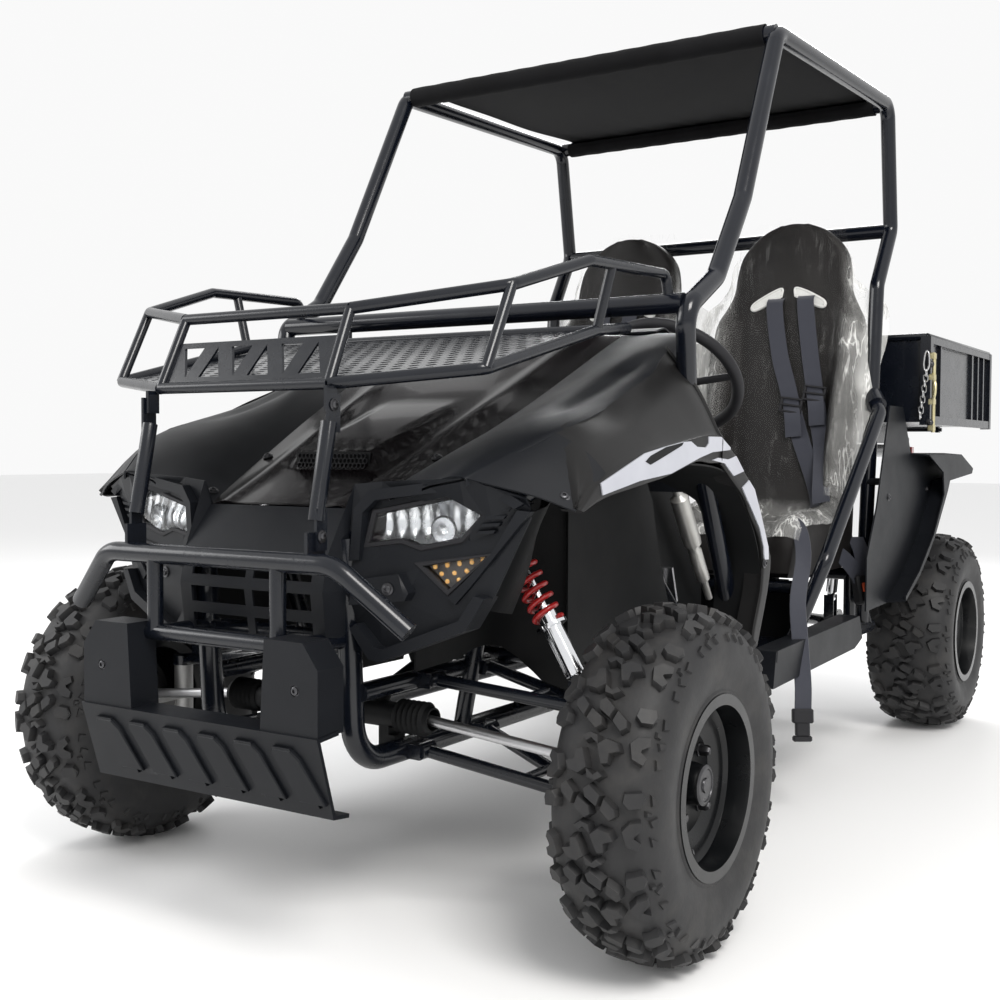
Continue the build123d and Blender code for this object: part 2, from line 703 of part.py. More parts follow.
# ---------------------------------------------------------------- bumper and cargo rack
bar_station = -383.0
hoop = tube(
    [(341, -350, 520), (234, bar_station, 611), (-234, bar_station, 611), (-341, -350, 520)],
    bumper_tube, 60.0,
)
bumper_runs = [hoop, rod((-200, bar_station, 488), (200, bar_station, 488), 12.5)]
for sign in (-1, 1):
    x = sign * 128.0
    bumper_runs.append(rod((x, bar_station, 488), (x, bar_station, 611), 12.5))
    bumper_runs.append(rod((x, bar_station, 488), (sign * rail_x, nose_station, 480), 12.5))
    low = (sign * 187 - 3, bar_station - 6, 611)
    bumper_runs.append(box(low, (sign * 187 + 3, -350, 656)))
bull_bar = fused(bumper_runs) - main_frame - fascia
save("bull_bar", bull_bar.solids().sort_by(SortBy.VOLUME)[-1])

guard_line = [(-385, 377), (-432, 373), (-396, 252), (-362, 248)]
guard = side_plate(strip(guard_line, 6.0), -244, 488)
for step in range(6):
    x = -205 + 74 * step
    foot = [(x + 34, -398, 268), (x + 62, -398, 268), (x + 28, -424, 354), (x - 6, -424, 354)]
    rib = skin([foot, [(px, st - 8, z) for px, st, z in foot]])
    guard = guard + rib
pod_outline = ((134, 373), (242, 373), (242, 468), (214, 505), (142, 505))
for sign in (-1, 1):
    face = [(sign * x, z) for x, z in pod_outline]
    pod = front_plate(face, -428, 56)
    inner = [(sign * 188 + (px - sign * 188) * 0.9, 436 + (z - 436) * 0.9) for px, z in face]
    pod = pod - front_plate(inner, -420, 60)
    guard = guard + pod - rod((sign * 200, -440, 436), (sign * 200, -415, 436), 8.0)
    guard = guard + rod((sign * rail_x, -395, 330), (sign * rail_x, nose_station, 330), 9.0)
guard = guard - bull_bar - main_frame
save("bumper_guard", guard.solids().sort_by(SortBy.VOLUME)[-1])

rack_front = ((173, -271, 987), (176, -325, 872))
rail_line = [(173, -271, 987), (387, -157, 1021), (417, 30, 1078), (426, 292, 1086), (428, 300, 1046)]
foot_line = [(176, -325, 872), (385, -224, 893), (392, 100, 974), (395, 205, 986)]
rack_runs = []
for line in (rail_line, foot_line):
    rack_runs += [tube(points, rack_tube, 18.0) for points in both_sides(line)]
for start, end in (
    (rail_line[0], foot_line[0]),
    (rail_line[1], foot_line[1]),
    ((420, 100, 1080), foot_line[2]),
):
    for points in both_sides([start, end]):
        rack_runs.append(rod(points[0], points[1], rack_tube - 1))
for x, station, z in (rail_line[0], foot_line[0], foot_line[3]):
    rack_runs.append(rod((-x, station, z), (x, station, z), rack_tube - 0.5))
for sign in (-1, 1):
    low = (sign * 290 - 10, 205, 984)
    rack_runs.append(box(low, (sign * 290 + 10, 300, 990)))
    rack_runs.append(rod((sign * 290, 292, 988), (sign * 290, 292, 1030), 6.0))
    low = (sign * 186 - 3, -345, 832)
    rack_runs.append(box(low, (sign * 186 + 3, -322, 868)))
rack = fused(rack_runs)
# front plate with a zigzag of triangular openings
plate_points = [(-172, -321, 880), (172, -321, 880), (164, -290, 946), (-164, -290, 946)]
tilt = (0, 4, -1.9)
plate = skin([plate_points, [tuple(Vector(*p) + Vector(*tilt)) for p in plate_points]])
for step in range(6):
    x = -130 + 52 * step
    up = 1 if step % 2 else -1
    corners = [(x - 22 * up, -306 - 12 * up), (x + 22 * up, -306 - 12 * up), (x, -306 + 12 * up)]
    tri = [(px, -340, 913 + (st + 306) * 2.0) for px, st in corners]
    plate = plate - skin([tri, [(px, -260, z) for px, _, z in tri]])
rack = rack + plate - cage_left - cage_right
for bar in crossbars:
    rack = rack - bar
rack = rack.solids().sort_by(SortBy.VOLUME)[-1]
save("cargo_rack", rack)

# rack floor: expanded metal, a sheet with rows of diamond openings
floor_drop = foot_line[3][2] - foot_line[0][2]
floor_run = foot_line[3][1] - foot_line[0][1]
floor_angle = math.degrees(math.atan2(floor_drop, floor_run))
floor_length = math.hypot(floor_drop, floor_run)
diamonds = []
for row in range(mesh_rows):
    for column in range(mesh_columns):
        x = (column - (mesh_columns - 1) / 2 + (0.5 if row % 2 else 0.0)) * mesh_pitch_x
        along = (row + 0.5) * floor_length / mesh_rows
        reach = 168 + 205 * min(1.0, along / 105)
        if abs(x) + mesh_pitch_x / 2 < reach:
            a, b = mesh_open_x / 2, mesh_open_y / 2
            diamond = [(x - a, along), (x, along - b), (x + a, along), (x, along + b)]
            diamonds.append(Wire.make_polygon(diamond))
edge = [(-172, 2), (172, 2), (378, 108), (386, floor_length - 4), (-386, floor_length - 4), (-378, 108)]
mesh_face = Face(Wire.make_polygon(edge, close=True), diamonds)
mesh = Solid.extrude(mesh_face, Vector(0, 0, 3))
mesh = mesh.moved(Location((0, foot_line[0][1], foot_line[0][2] - 1.5), (floor_angle, 0, 0)))
save("rack_floor", (mesh - rack).solids().sort_by(SortBy.VOLUME)[-1])

struts = []
strut_x = 187.0
strut = rod((strut_x, -367, 672), (strut_x, -338, 815), strut_tube)
# flattened ends: station and z of the low and the high corner
for low_station, low_z, high_station, high_z in (
    (-375, 629, -352, 690),
    (-349, 800, -322, 857),
):
    low = (strut_x + 3.3, low_station, low_z)
    strut = strut + box(low, (strut_x + 8.3, high_station, high_z))
strut = (strut - rack - bull_bar).solids().sort_by(SortBy.VOLUME)[-1]
save("rack_struts", *mirrored(strut))


# ---------------------------------------------------------------- seats and harness
back_line = [(952, 488), (1386, 488), (1522, 1376), (1468, 1380), (1352, 640), (1320, 604), (975, 590)]
bolster_line = [(952, 488), (1386, 488), (1478, 1112), (1420, 1116), (1290, 735), (1235, 668), (968, 628)]
seat_half_width = 200.0
bolster_width = 58.0
# half of the seat's front outline from the cushion to the crown: x from the middle, z
front_half = (
    (185, 480), (192, 900), (200, 1050), (199, 1106), (188, 1136), (165, 1162), (154, 1192),
    (150, 1240), (140, 1288), (118, 1322), (88, 1346), (46, 1366),
)
front_outline = [(seat_x + x, z) for x, z in front_half] + [(seat_x - x, z) for x, z in front_half[::-1]]
seat = side_plate(back_line, seat_x - seat_half_width, 2 * seat_half_width)
for x in (seat_x - seat_half_width, seat_x + seat_half_width - bolster_width):
    seat = seat + side_plate(bolster_line, x, bolster_width)
seat = seat & front_plate(front_outline, 900, 700)
for sign in (-1, 1):
    # a belt slot: distance from the seat's middle, z
    slot = ((22, 1176), (84, 1147), (88, 1162), (26, 1194))
    seat = seat - front_plate([(seat_x + sign * x, z) for x, z in slot], 1300, 300)
seat = seat.solid()
save("seat_left", seat)
save("seat_right", mirror(seat, about=Plane.YZ))

# harness: two shoulder straps from the slots down each seat's face, each a thin band
face_slope = (1468 - 1352) / (1380 - 640)
strap_half = 22.0
strap_lift = 5.0
straps = []
# each strap: x from the seat's middle and z, from the slot down
for run in (
    ((-36, 1150), (30, 896), (92, 664)),
    ((58, 1150), (92, 913), (120, 664)),
):
    sections = []
    for x, z in run:
        station = 1352 + (z - 640) * face_slope - strap_lift
        corners = ((-strap_half, 0), (strap_half, 0), (strap_half, -2), (-strap_half, -2))
        sections.append([(seat_x + x + across, station + back, z) for across, back in corners])
    straps.append(skin(sections))
save("harness_straps", *mirrored(*straps))

# ---------------------------------------------------------------- steering
column_plane = Plane(origin=wheel_centre, z_dir=column_line)
wheel = Solid.make_torus(wheel_rim_radius, wheel_tube_radius, column_plane)
hub = Solid.make_cylinder(34, 26, column_plane.offset(-40))
spokes = [hub]
spoke_reach = wheel_rim_radius - 3
for turn in (-20, 200, 90):
    angle = math.radians(turn)
    start = column_plane.from_local_coords((30 * math.cos(angle), 30 * math.sin(angle), -22))
    end = column_plane.from_local_coords((spoke_reach * math.cos(angle), spoke_reach * math.sin(angle), 0))
    spokes.append(rod(start, end, 8.0))
wheel = wheel.fuse(*spokes)
save("steering_wheel", wheel.solids().sort_by(SortBy.VOLUME)[-1])
shaft_end = column_plane.from_local_coords((0, 0, -40))
shaft = rod(column_joint, shaft_end, shaft_radius)
ball_radius = 20.0
ball_plane = Plane(origin=column_joint, z_dir=(1, 0, 0))
# the ball's low end is cut flat
shaft_plane = Plane(origin=column_joint, z_dir=column_line)
shaft = shaft + Solid.make_sphere(ball_radius, shaft_plane, -75, 75)
save("steering_shaft", shaft.solid())
lower_axis = Vector(*column_joint) - Vector(*pinion_end)
lower_shaft = rod(pinion_end, column_joint, shaft_radius - 1)
cup_start = Vector(*column_joint) - lower_axis.normalized() * 40
lower_shaft = lower_shaft + rod(cup_start, Vector(*column_joint) - lower_axis.normalized() * 6, 24.0)
lower_shaft = lower_shaft - Solid.make_sphere(ball_radius + pivot_gap, ball_plane)
save("lower_shaft", lower_shaft.solids().sort_by(SortBy.VOLUME)[-1])

rack_axis_low = (-150, rack_station, rack_z)
rack_axis_high = (150, rack_station, rack_z)
housing = rod(rack_axis_low, rack_axis_high, rack_housing_radius)
boss_end = Vector(*pinion_end) - lower_axis.normalized() * pivot_gap
housing = housing + rod((pinion_end[0], rack_station, rack_z), boss_end, 17.0)
folds = [(150, 17.0)]
for fold in range(6):
    folds += [(150 + 10 * fold, 22.0), (155 + 10 * fold, 28.0)]
folds += [(210, 22.0), (218, 20.0), (218, 17.0)]
boot_face = make_face(Polyline(*[(x, rack_station, rack_z + r) for x, r in folds], close=True))
boot = Solid.revolve(boot_face.face(), 360, Axis((0, rack_station, rack_z), (1, 0, 0)))
housing = fused([housing] + mirrored(boot))
for sign in (-1, 1):
    low = (sign * 128 - 10, rack_station - 14, rail_z)
    housing = housing + box(low, (sign * 128 + 10, rack_station + 14, rack_z - 12))
    low = (sign * 139 - 12, rack_station - 14, rail_z + 2)
    housing = housing + box(low, (sign * 139 + 12, rack_station + 14, rail_z + 26))
housing = housing - main_frame
shaft_low = Vector(*pinion_end) - lower_axis.normalized() * pivot_gap
housing = housing - rod(shaft_low, column_joint, shaft_radius - 1 + pivot_gap)
housing = housing - across(-230, 230, rack_station, rack_z, rack_bar_radius + running_gap)
for sign in (-1, 1):
    housing = housing - rod((sign * 150, rack_station, rack_z), (sign * 230, rack_station, rack_z), 17.0)
save("rack_housing", housing.solids().sort_by(SortBy.VOLUME)[-1])

# the column's tilt strut, from the dashboard's back down to a foot on the floor
strut_top = Vector(300, 604, 719)
strut_foot = Vector(300, 793, 457)
strut_axis = (strut_foot - strut_top).normalized()
tilt_strut = fused([
    rod(strut_top, strut_top + strut_axis * 74, 4.0),
    rod(strut_top + strut_axis * 72, strut_foot - strut_axis * 62, 10.5),
    rod(strut_foot - strut_axis * 64, strut_foot, 7.0),
    box((288, 592, 705), (312, 612, 731)),
    box((292, 778, floor_z + floor_thickness), (308, 808, 470)),
    box((278, 768, floor_z + floor_thickness), (322, 818, floor_z + floor_thickness + 4)),
])
save("tilt_strut", (tilt_strut - dash - pan).solids().sort_by(SortBy.VOLUME)[-1])

tie_end = (arm_end[0], arm_end[1], arm_pad_z + pivot_gap + 9)
rack_bar = rod((-205, rack_station, rack_z), (205, rack_station, rack_z), rack_bar_radius)
rack_parts = [rack_bar]
for sign in (-1, 1):
    tie_outer = (sign * tie_end[0], tie_end[1], tie_end[2])
    rack_parts.append(rod((sign * 204, rack_station, rack_z), tie_outer, 8.5))
    pad = (sign * tie_end[0], tie_end[1], arm_pad_z + pivot_gap)
    rack_parts.append(rod(pad, (pad[0], pad[1], pad[2] + 18), 14.0))
save("steering_rack", fused(rack_parts).solid())

# ---------------------------------------------------------------- front suspension
arms = []
for bush_x, bush_z, bush_radius, reach, joint_z in (
    (lower_bush_x, rail_z, 14.0, lower_arm_half, lower_joint_z),
    (upper_bush_x, upper_arm_z, 12.0, upper_arm_half, upper_joint_z),
):
    boss_low = joint_z - (joint_boss if bush_z == rail_z else 0)
    pieces = [rod((kingpin_x, 0, boss_low), (kingpin_x, 0, boss_low + joint_boss), 20.0)]
    for side_sign in (-1, 1):
        station = side_sign * reach
        pieces.append(rod((bush_x, station - 18, bush_z), (bush_x, station + 18, bush_z), bush_radius))
        pieces.append(rod((bush_x, station, bush_z), (kingpin_x, 0, boss_low + joint_boss / 2), 10.5))
    mid_x = bush_x + 0.55 * (kingpin_x - bush_x)
    mid_z = bush_z + 0.55 * (boss_low + joint_boss / 2 - bush_z)
    pieces.append(rod((mid_x, -0.45 * reach, mid_z), (mid_x, 0.45 * reach, mid_z), 8.0))
    if bush_z != rail_z:
        for side_sign in (-1, 1):
            low = (shock_foot[0] - 16, shock_foot[1] + side_sign * 16 - 2.5, joint_z + 4)
            high = (shock_foot[0] + 16, shock_foot[1] + side_sign * 16 + 2.5, shock_foot[2] + 12)
            pieces.append(box(low, high))
    turning = rod((kingpin_x, 0, lower_joint_z), (kingpin_x, 0, upper_joint_z), 26.0)
    arms.append((fused(pieces) - turning - main_frame).solids().sort_by(SortBy.VOLUME)[-1])
save("control_arms", *mirrored(*arms))


def damper(top, foot):
    """A coil-over shock: eyes across, chromed body at the foot, rod and two spring seats."""
    top_point, foot_point = Vector(*top), Vector(*foot)
    axis = (top_point - foot_point).normalized()
    length = (top_point - foot_point).length
    pieces = [rod(top_point - Vector(0, 13.2, 0), top_point + Vector(0, 13.2, 0), 12.0)]
    pieces.append(rod(foot_point - Vector(0, 13.2, 0), foot_point + Vector(0, 13.2, 0), 12.0))
    pieces.append(rod(foot_point, foot_point + axis * 25, 11.0))
    pieces.append(rod(foot_point + axis * 24, foot_point + axis * (length * 0.5), 16.5))
    pieces.append(rod(foot_point + axis * (length * 0.5), top_point, 8.0))
    seat_low = foot_point + axis * (length * spring_low_share)
    seat_high = foot_point + axis * (length * spring_high_share)
    pieces.append(rod(seat_low - axis * 5, seat_low, 27.0))
    pieces.append(rod(seat_high, seat_high + axis * 5, 27.0))
    return fused(pieces).solid()


def coil(top, foot):
    """The spring between the shock's seats, a round wire swept along a helix."""
    top_point, foot_point = Vector(*top), Vector(*foot)
    axis = (top_point - foot_point).normalized()
    length = (top_point - foot_point).length
    wire = 4.5
    low = foot_point + axis * (length * spring_low_share + wire)
    height = length * (spring_high_share - spring_low_share) - 2 * wire
    pitch = height / spring_turns
    path = Helix(pitch=pitch, height=height, radius=spring_radius, center=low, direction=axis)
    start = Plane(origin=path @ 0, z_dir=path % 0)
    return sweep(start * Circle(wire), path=path).solid()


dampers, springs = [], []
for top, foot in ((shock_top, shock_foot), (rear_shock_top, rear_shock_foot)):
    dampers += mirrored(damper(top, foot))
    springs += mirrored(coil(top, foot))
save("shock_absorbers", *dampers)
save("coil_springs", *springs)

kingpin_low = (kingpin_x, 0, lower_joint_z + pivot_gap)
kingpin_high = (kingpin_x, 0, upper_joint_z - pivot_gap)
knuckle = rod(kingpin_low, kingpin_high, kingpin_radius)
knuckle = knuckle.fuse(
    rod((kingpin_x, 0, axle_z), (spindle_end_x, 0, axle_z), spindle_radius),
    rod((kingpin_x, 0, axle_z), (kingpin_x + 26, 0, axle_z), 25.0),
    rod((arm_end[0], arm_end[1], arm_pad_z - 12), (arm_end[0], arm_end[1], arm_pad_z), 16.0),
    box((arm_end[0] - 9, arm_end[1], arm_pad_z - 12), (arm_end[0] + 11, 0, arm_pad_z - 1)),
).solid()
save("knuckle_left", knuckle)
save("knuckle_right", mirror(knuckle, about=Plane.YZ))

# ---------------------------------------------------------------- rear axle and drive
carrier_radius = 36.0
swing_pieces = []
for sign in (-1, 1):
    bush_x, carrier_x = sign * swing_bush_x, sign * swing_arm_x
    swing_pieces.append(across(bush_x - 18, bush_x + 18, swing_pivot_station, swing_pivot_z, 19.0))
    swing_pieces.append(across(carrier_x - 20, carrier_x + 20, rear_axle_station, axle_z, carrier_radius))
    bush = (bush_x, swing_pivot_station, swing_pivot_z)
    swing_pieces.append(rod(bush, (carrier_x, rear_axle_station, axle_z), 16.0))
    foot = (sign * rear_shock_foot[0], rear_shock_foot[1], rear_shock_foot[2])
    for side_sign in (-1, 1):
        low = (foot[0] - 14, foot[1] + side_sign * 16 - 2.5, axle_z + 10)
        swing_pieces.append(box(low, (foot[0] + 14, foot[1] + side_sign * 16 + 2.5, foot[2] + 12)))
    low = (sign * 218 - 24, foot[1] - 18.5, axle_z + 2)
    swing_pieces.append(box(low, (sign * 218 + 24, foot[1] + 18.5, axle_z + 14)))
# the cross tube joins the two arms part of the way back from the pivot
cross_share = 0.42
cross_station = swing_pivot_station + cross_share * (rear_axle_station - swing_pivot_station)
cross_height = swing_pivot_z + cross_share * (axle_z - swing_pivot_z)
swing_pieces.append(across(-190, 190, cross_station, cross_height, 12.0))
swing_arm = fused(swing_pieces)
swing_arm = swing_arm - across(-260, 260, rear_axle_station, axle_z, rear_axle_radius + running_gap)
swing_arm = swing_arm - main_frame
save("swing_arm", swing_arm.solids().sort_by(SortBy.VOLUME)[-1])

axle_end = rear_wheel_x + rear_disc_offset + 30
axle_pieces = [across(-axle_end, axle_end, rear_axle_station, axle_z, rear_axle_radius)]
for x, width, radius in (
    (sprocket_x, 6.0, big_sprocket - 0.6),
    (sprocket_x, 30.0, 34.0),
    (brake_x, 5.0, 82.0),
    (brake_x, 28.0, 34.0),
    (rear_wheel_x + rear_disc_offset - 9, 18.0, 32.0),
    (-rear_wheel_x - rear_disc_offset + 9, 18.0, 32.0),
):
    axle_pieces.append(across(x - width / 2, x + width / 2, rear_axle_station, axle_z, radius))
rear_axle = fused(axle_pieces)
for step in range(6):
    angle = math.radians(60 * step)
    y, z = rear_axle_station + 58 * math.cos(angle), axle_z + 58 * math.sin(angle)
    rear_axle = rear_axle - rod((sprocket_x - 5, y, z), (sprocket_x + 5, y, z), 12.0)
save("rear_axle", rear_axle.solid())


def chain_face(small, big, x):
    """The filled outline round both sprockets in the plane of the chain."""
    near = Vector(engine_sprocket_station, engine_sprocket_z)
    far = Vector(rear_axle_station, axle_z)
    arcs = [CenterArc(near, small, 0, 360), CenterArc(far, big, 0, 360)]
    hull = make_hull(arcs)
    return Plane(origin=(x, 0, 0), x_dir=(0, 1, 0), z_dir=(1, 0, 0)) * hull


chain_outer = chain_face(small_sprocket + 9, big_sprocket + 9, sprocket_x - 6).face()
chain_inner = chain_face(small_sprocket, big_sprocket, sprocket_x - 7).face()
chain = Solid.extrude(chain_outer, Vector(12, 0, 0)) - Solid.extrude(chain_inner, Vector(14, 0, 0))
save("drive_chain", chain.solid())

case = box((-90, 1190, rail_z + frame_tube), (110, 1430, 440))
case = chamfer(case.edges().filter_by(Axis.X), 22)
barrel_axis = Vector(0, 0.77, 0.64)
barrel_foot = Vector(-5, 1390, 400)
engine_pieces = [case]
engine_pieces.append(rod((110, 1270, 372), (128, 1270, 372), 60.0))
engine_pieces.append(rod((110, 1375, 372), (128, 1375, 372), 46.0))
engine_pieces.append(rod(barrel_foot, barrel_foot + barrel_axis * 150, 36.0))
for fin in range(8):
    start = barrel_foot + barrel_axis * (52 + 12 * fin)
    engine_pieces.append(rod(start, start + barrel_axis * 4.5, 54.0))
engine_pieces.append(rod(barrel_foot + barrel_axis * 146, barrel_foot + barrel_axis * 178, 46.0))
# x of both ends and radius of the output shaft's boss and of its sprocket
for x_low, x_high, radius in ((-100, -90, 24.0), (sprocket_x - 4, -100, small_sprocket - 0.6)):
    engine_pieces.append(across(x_low, x_high, engine_sprocket_station, engine_sprocket_z, radius))
engine = fused(engine_pieces)
save("engine", (engine - main_frame).solids().sort_by(SortBy.VOLUME)[-1])

head = barrel_foot + barrel_axis * 178
exhaust_line = [(-5, head.Y, head.Z), (-5, 1580, head.Z + 34), (60, 1690, 560), (130, 1790, 575)]
exhaust = fused([rod(a, b, 14.0) for a, b in zip(exhaust_line, exhaust_line[1:])])
muffler_start, muffler_end = (130, 1788, 575), (130, 2110, 612)
exhaust = exhaust.fuse(
    rod(muffler_start, muffler_end, 46.0),
    rod(muffler_end, (130, 2160, 618), 13.0),
    rod((130, 2060, 630), (130, bed_hinge_station, bed_rail_z), 6.0),
).solid()
save("exhaust", (exhaust - main_frame - engine).solids().sort_by(SortBy.VOLUME)[-1])

# ---------------------------------------------------------------- cargo bed and tailgate
floor_rear = bed_rear - 8
low = (-bed_half_width, bed_front, bed_floor_z)
bed = box(low, (bed_half_width, floor_rear, bed_top_z))
low = (-bed_half_width + bed_sheet, bed_front + bed_sheet, bed_floor_z + bed_sheet)
bed = bed - box(low, (bed_half_width - bed_sheet, floor_rear + 1, bed_top_z + 1))
bed_pieces = [bed]
# outer rails and posts of each side: first and last station, low z, high z, how far they stand out
side_bars = (
    (bed_front, floor_rear, bed_top_z - 22, bed_top_z - 6, 12),
    (bed_front, floor_rear, bed_floor_z - 6, bed_floor_z + 16, 12),
    (bed_front + 116, bed_front + 128, bed_floor_z + 10, bed_top_z - 16, 8),
    (bed_front + 484, bed_front + 500, bed_floor_z + 10, bed_top_z - 16, 8),
    (bed_front + 560, bed_front + 572, bed_floor_z + 10, bed_top_z - 16, 8),
    (bed_front + 632, bed_front + 644, bed_floor_z + 10, bed_top_z - 16, 8),
)
for first, last, low_z, high_z, reach in side_bars:
    bar = box((bed_half_width - 1, first, low_z), (bed_half_width + reach, last, high_z))
    bed_pieces += mirrored(bar)
rim_z = bed_top_z - 4
corner = [(bed_half_width, floor_rear, rim_z), (bed_half_width, bed_front, rim_z)]
bed_pieces += [rod(a, b, 9.0) for a, b in both_sides(corner)]
bed_pieces.append(rod((-bed_half_width, bed_front, rim_z), (bed_half_width, bed_front, rim_z), 9.0))
for sign in (-1, 1):
    x = sign * bed_half_width
    bed_pieces.append(box((x - 13, bed_front - 10, bed_floor_z - 8), (x + 13, bed_front + 16, rim_z)))
    bed_pieces.append(box((x - 13, floor_rear - 22, bed_floor_z - 8), (x + 13, floor_rear, rim_z)))
    x = sign * 319
    bed_pieces.append(box((x - 11, 1640, 800), (x + 11, bed_hinge_station, bed_floor_z + 1)))
    bed_pieces.append(across(x - 11, x + 11, bed_hinge_station, bed_hinge_z, 14.0))
    x = sign * 301
    bed_pieces.append(box((x - 10, 1650, bed_rail_z + frame_tube + 0.3), (x + 10, 1690, bed_floor_z + 1)))
    x = sign * 405
    low = (x - 5, floor_rear - 8, tailgate_hinge_z - 11)
    bed_pieces.append(box(low, (x + 5, floor_rear + 15, bed_floor_z + 1)))
bed = fused(bed_pieces)
for sign in (-1, 1):
    x = sign * 319
    hole = (x - 12, bed_hinge_station, bed_hinge_z)
    bed = bed - rod(hole, (x + 12, bed_hinge_station, bed_hinge_z), hinge_pin_radius + running_gap)
hole = (-420, bed_rear, tailgate_hinge_z - 2)
bed = bed - rod(hole, (420, bed_rear, tailgate_hinge_z - 2), 6.0 + running_gap)
save("bed_tub", bed.solid())

gate_half = bed_half_width - 4
tailgate_pieces = [
    box((-gate_half, bed_rear - 2, bed_floor_z + 4), (gate_half, bed_rear + 2, bed_top_z - 2)),
    box((-380, bed_rear - 2, tailgate_hinge_z - 2), (380, bed_rear + 2, bed_floor_z + 6)),
    rod((-416, bed_rear, tailgate_hinge_z - 2), (416, bed_rear, tailgate_hinge_z - 2), 6.0),
    across(-gate_half, gate_half, bed_rear, bed_top_z - 5, 8.0),
]
for step in range(8):
    x = -470 + 118 * step
    tailgate_pieces.append(box((x, bed_rear + 1, bed_floor_z + 20), (x + 56, bed_rear + 8, bed_top_z - 24)))
save("tailgate", fused(tailgate_pieces).solid())

latch_x = bed_half_width + 13
latches = []
for sign in (-1, 1):
    x = sign * (latch_x + 5)
    latches.append(rod((x, bed_front + 3, bed_floor_z + 4), (x, bed_front + 3, bed_top_z - 60), 5.0))
save("bed_latches", *latches)

lamps = []
for sign in (-1, 1):
    x = sign * bed_rail_x
    low = (x - 42, bed_hinge_station + 10, bed_rail_z - 27)
    lamps.append(box(low, (x + 42, bed_hinge_station + 34, bed_rail_z + 12)))
save("tail_lamps", *[(lamp - main_frame).solids().sort_by(SortBy.VOLUME)[-1] for lamp in lamps])

# ---------------------------------------------------------------- driver's controls
pedal_profile = ((604, 470), (580, 540), (574, 538), (598, 468))
pedals = []
for x, width in ((190.0, 58.0), (290.0, 46.0)):
    foot = side_plate(pedal_profile, x - width / 2, width)
    arm = rod((x, 586, 505), (x, 500, 600), 6.0)
    pedals.append(foot + arm + across(x - 15, x + 15, 500, 600, 9.0))
save("pedals", *pedals)
knob = Solid.make_sphere(21.0, Plane(origin=(20, 889, 610)))
shifter = rod((0, 925, floor_z), (20, 890, 600), 7.0) + knob
shifter = shifter + box((-22, 895, floor_z + floor_thickness), (22, 955, floor_z + 18))
save("shift_lever", (shifter - pan).solids().sort_by(SortBy.VOLUME)[-1])
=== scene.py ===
import math
import random

import bmesh
import bpy
from mathutils import Matrix, Vector


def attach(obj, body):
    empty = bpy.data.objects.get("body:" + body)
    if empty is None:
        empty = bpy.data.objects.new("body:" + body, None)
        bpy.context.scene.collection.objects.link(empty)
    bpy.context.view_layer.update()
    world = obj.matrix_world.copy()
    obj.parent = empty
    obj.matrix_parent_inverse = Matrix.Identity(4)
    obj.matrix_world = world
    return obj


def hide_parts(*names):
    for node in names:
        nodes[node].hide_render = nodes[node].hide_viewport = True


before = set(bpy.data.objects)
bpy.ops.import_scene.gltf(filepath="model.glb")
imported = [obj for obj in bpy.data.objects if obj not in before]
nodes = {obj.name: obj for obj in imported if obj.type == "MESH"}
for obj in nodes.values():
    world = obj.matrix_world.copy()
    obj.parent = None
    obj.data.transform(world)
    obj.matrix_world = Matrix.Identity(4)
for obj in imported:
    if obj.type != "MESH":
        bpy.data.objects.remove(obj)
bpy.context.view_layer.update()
print("frame loaded:", len(nodes), "nodes")

frontAxleY = -0.969     # stations in part.py count from the front axle
axleZ = 0.27176


def at(x, station, z):
    # a point written as in part.py, in millimetres, brought to the frame in metres
    return Vector((x / 1000, station / 1000 + frontAxleY, z / 1000))


# finishes: a socket that takes part in sums, and one method that makes any node

class Wire:
    def __init__(self, finish, socket):
        self.finish = finish
        self.socket = socket

    def math(self, operation, *others):
        values = dict(enumerate((self, *others)))
        return self.finish.node("ShaderNodeMath", {"operation": operation}, values)

    def __add__(self, other):
        return self.math("ADD", other)

    def __sub__(self, other):
        return self.math("SUBTRACT", other)

    def __mul__(self, other):
        return self.math("MULTIPLY", other)

    def between(self, low, high):
        # 0 below low, 1 above high, smooth between them
        return self.finish.node(
            "ShaderNodeMapRange",
            {"interpolation_type": "SMOOTHSTEP"},
            {"Value": self, "From Min": low, "From Max": high},
        )


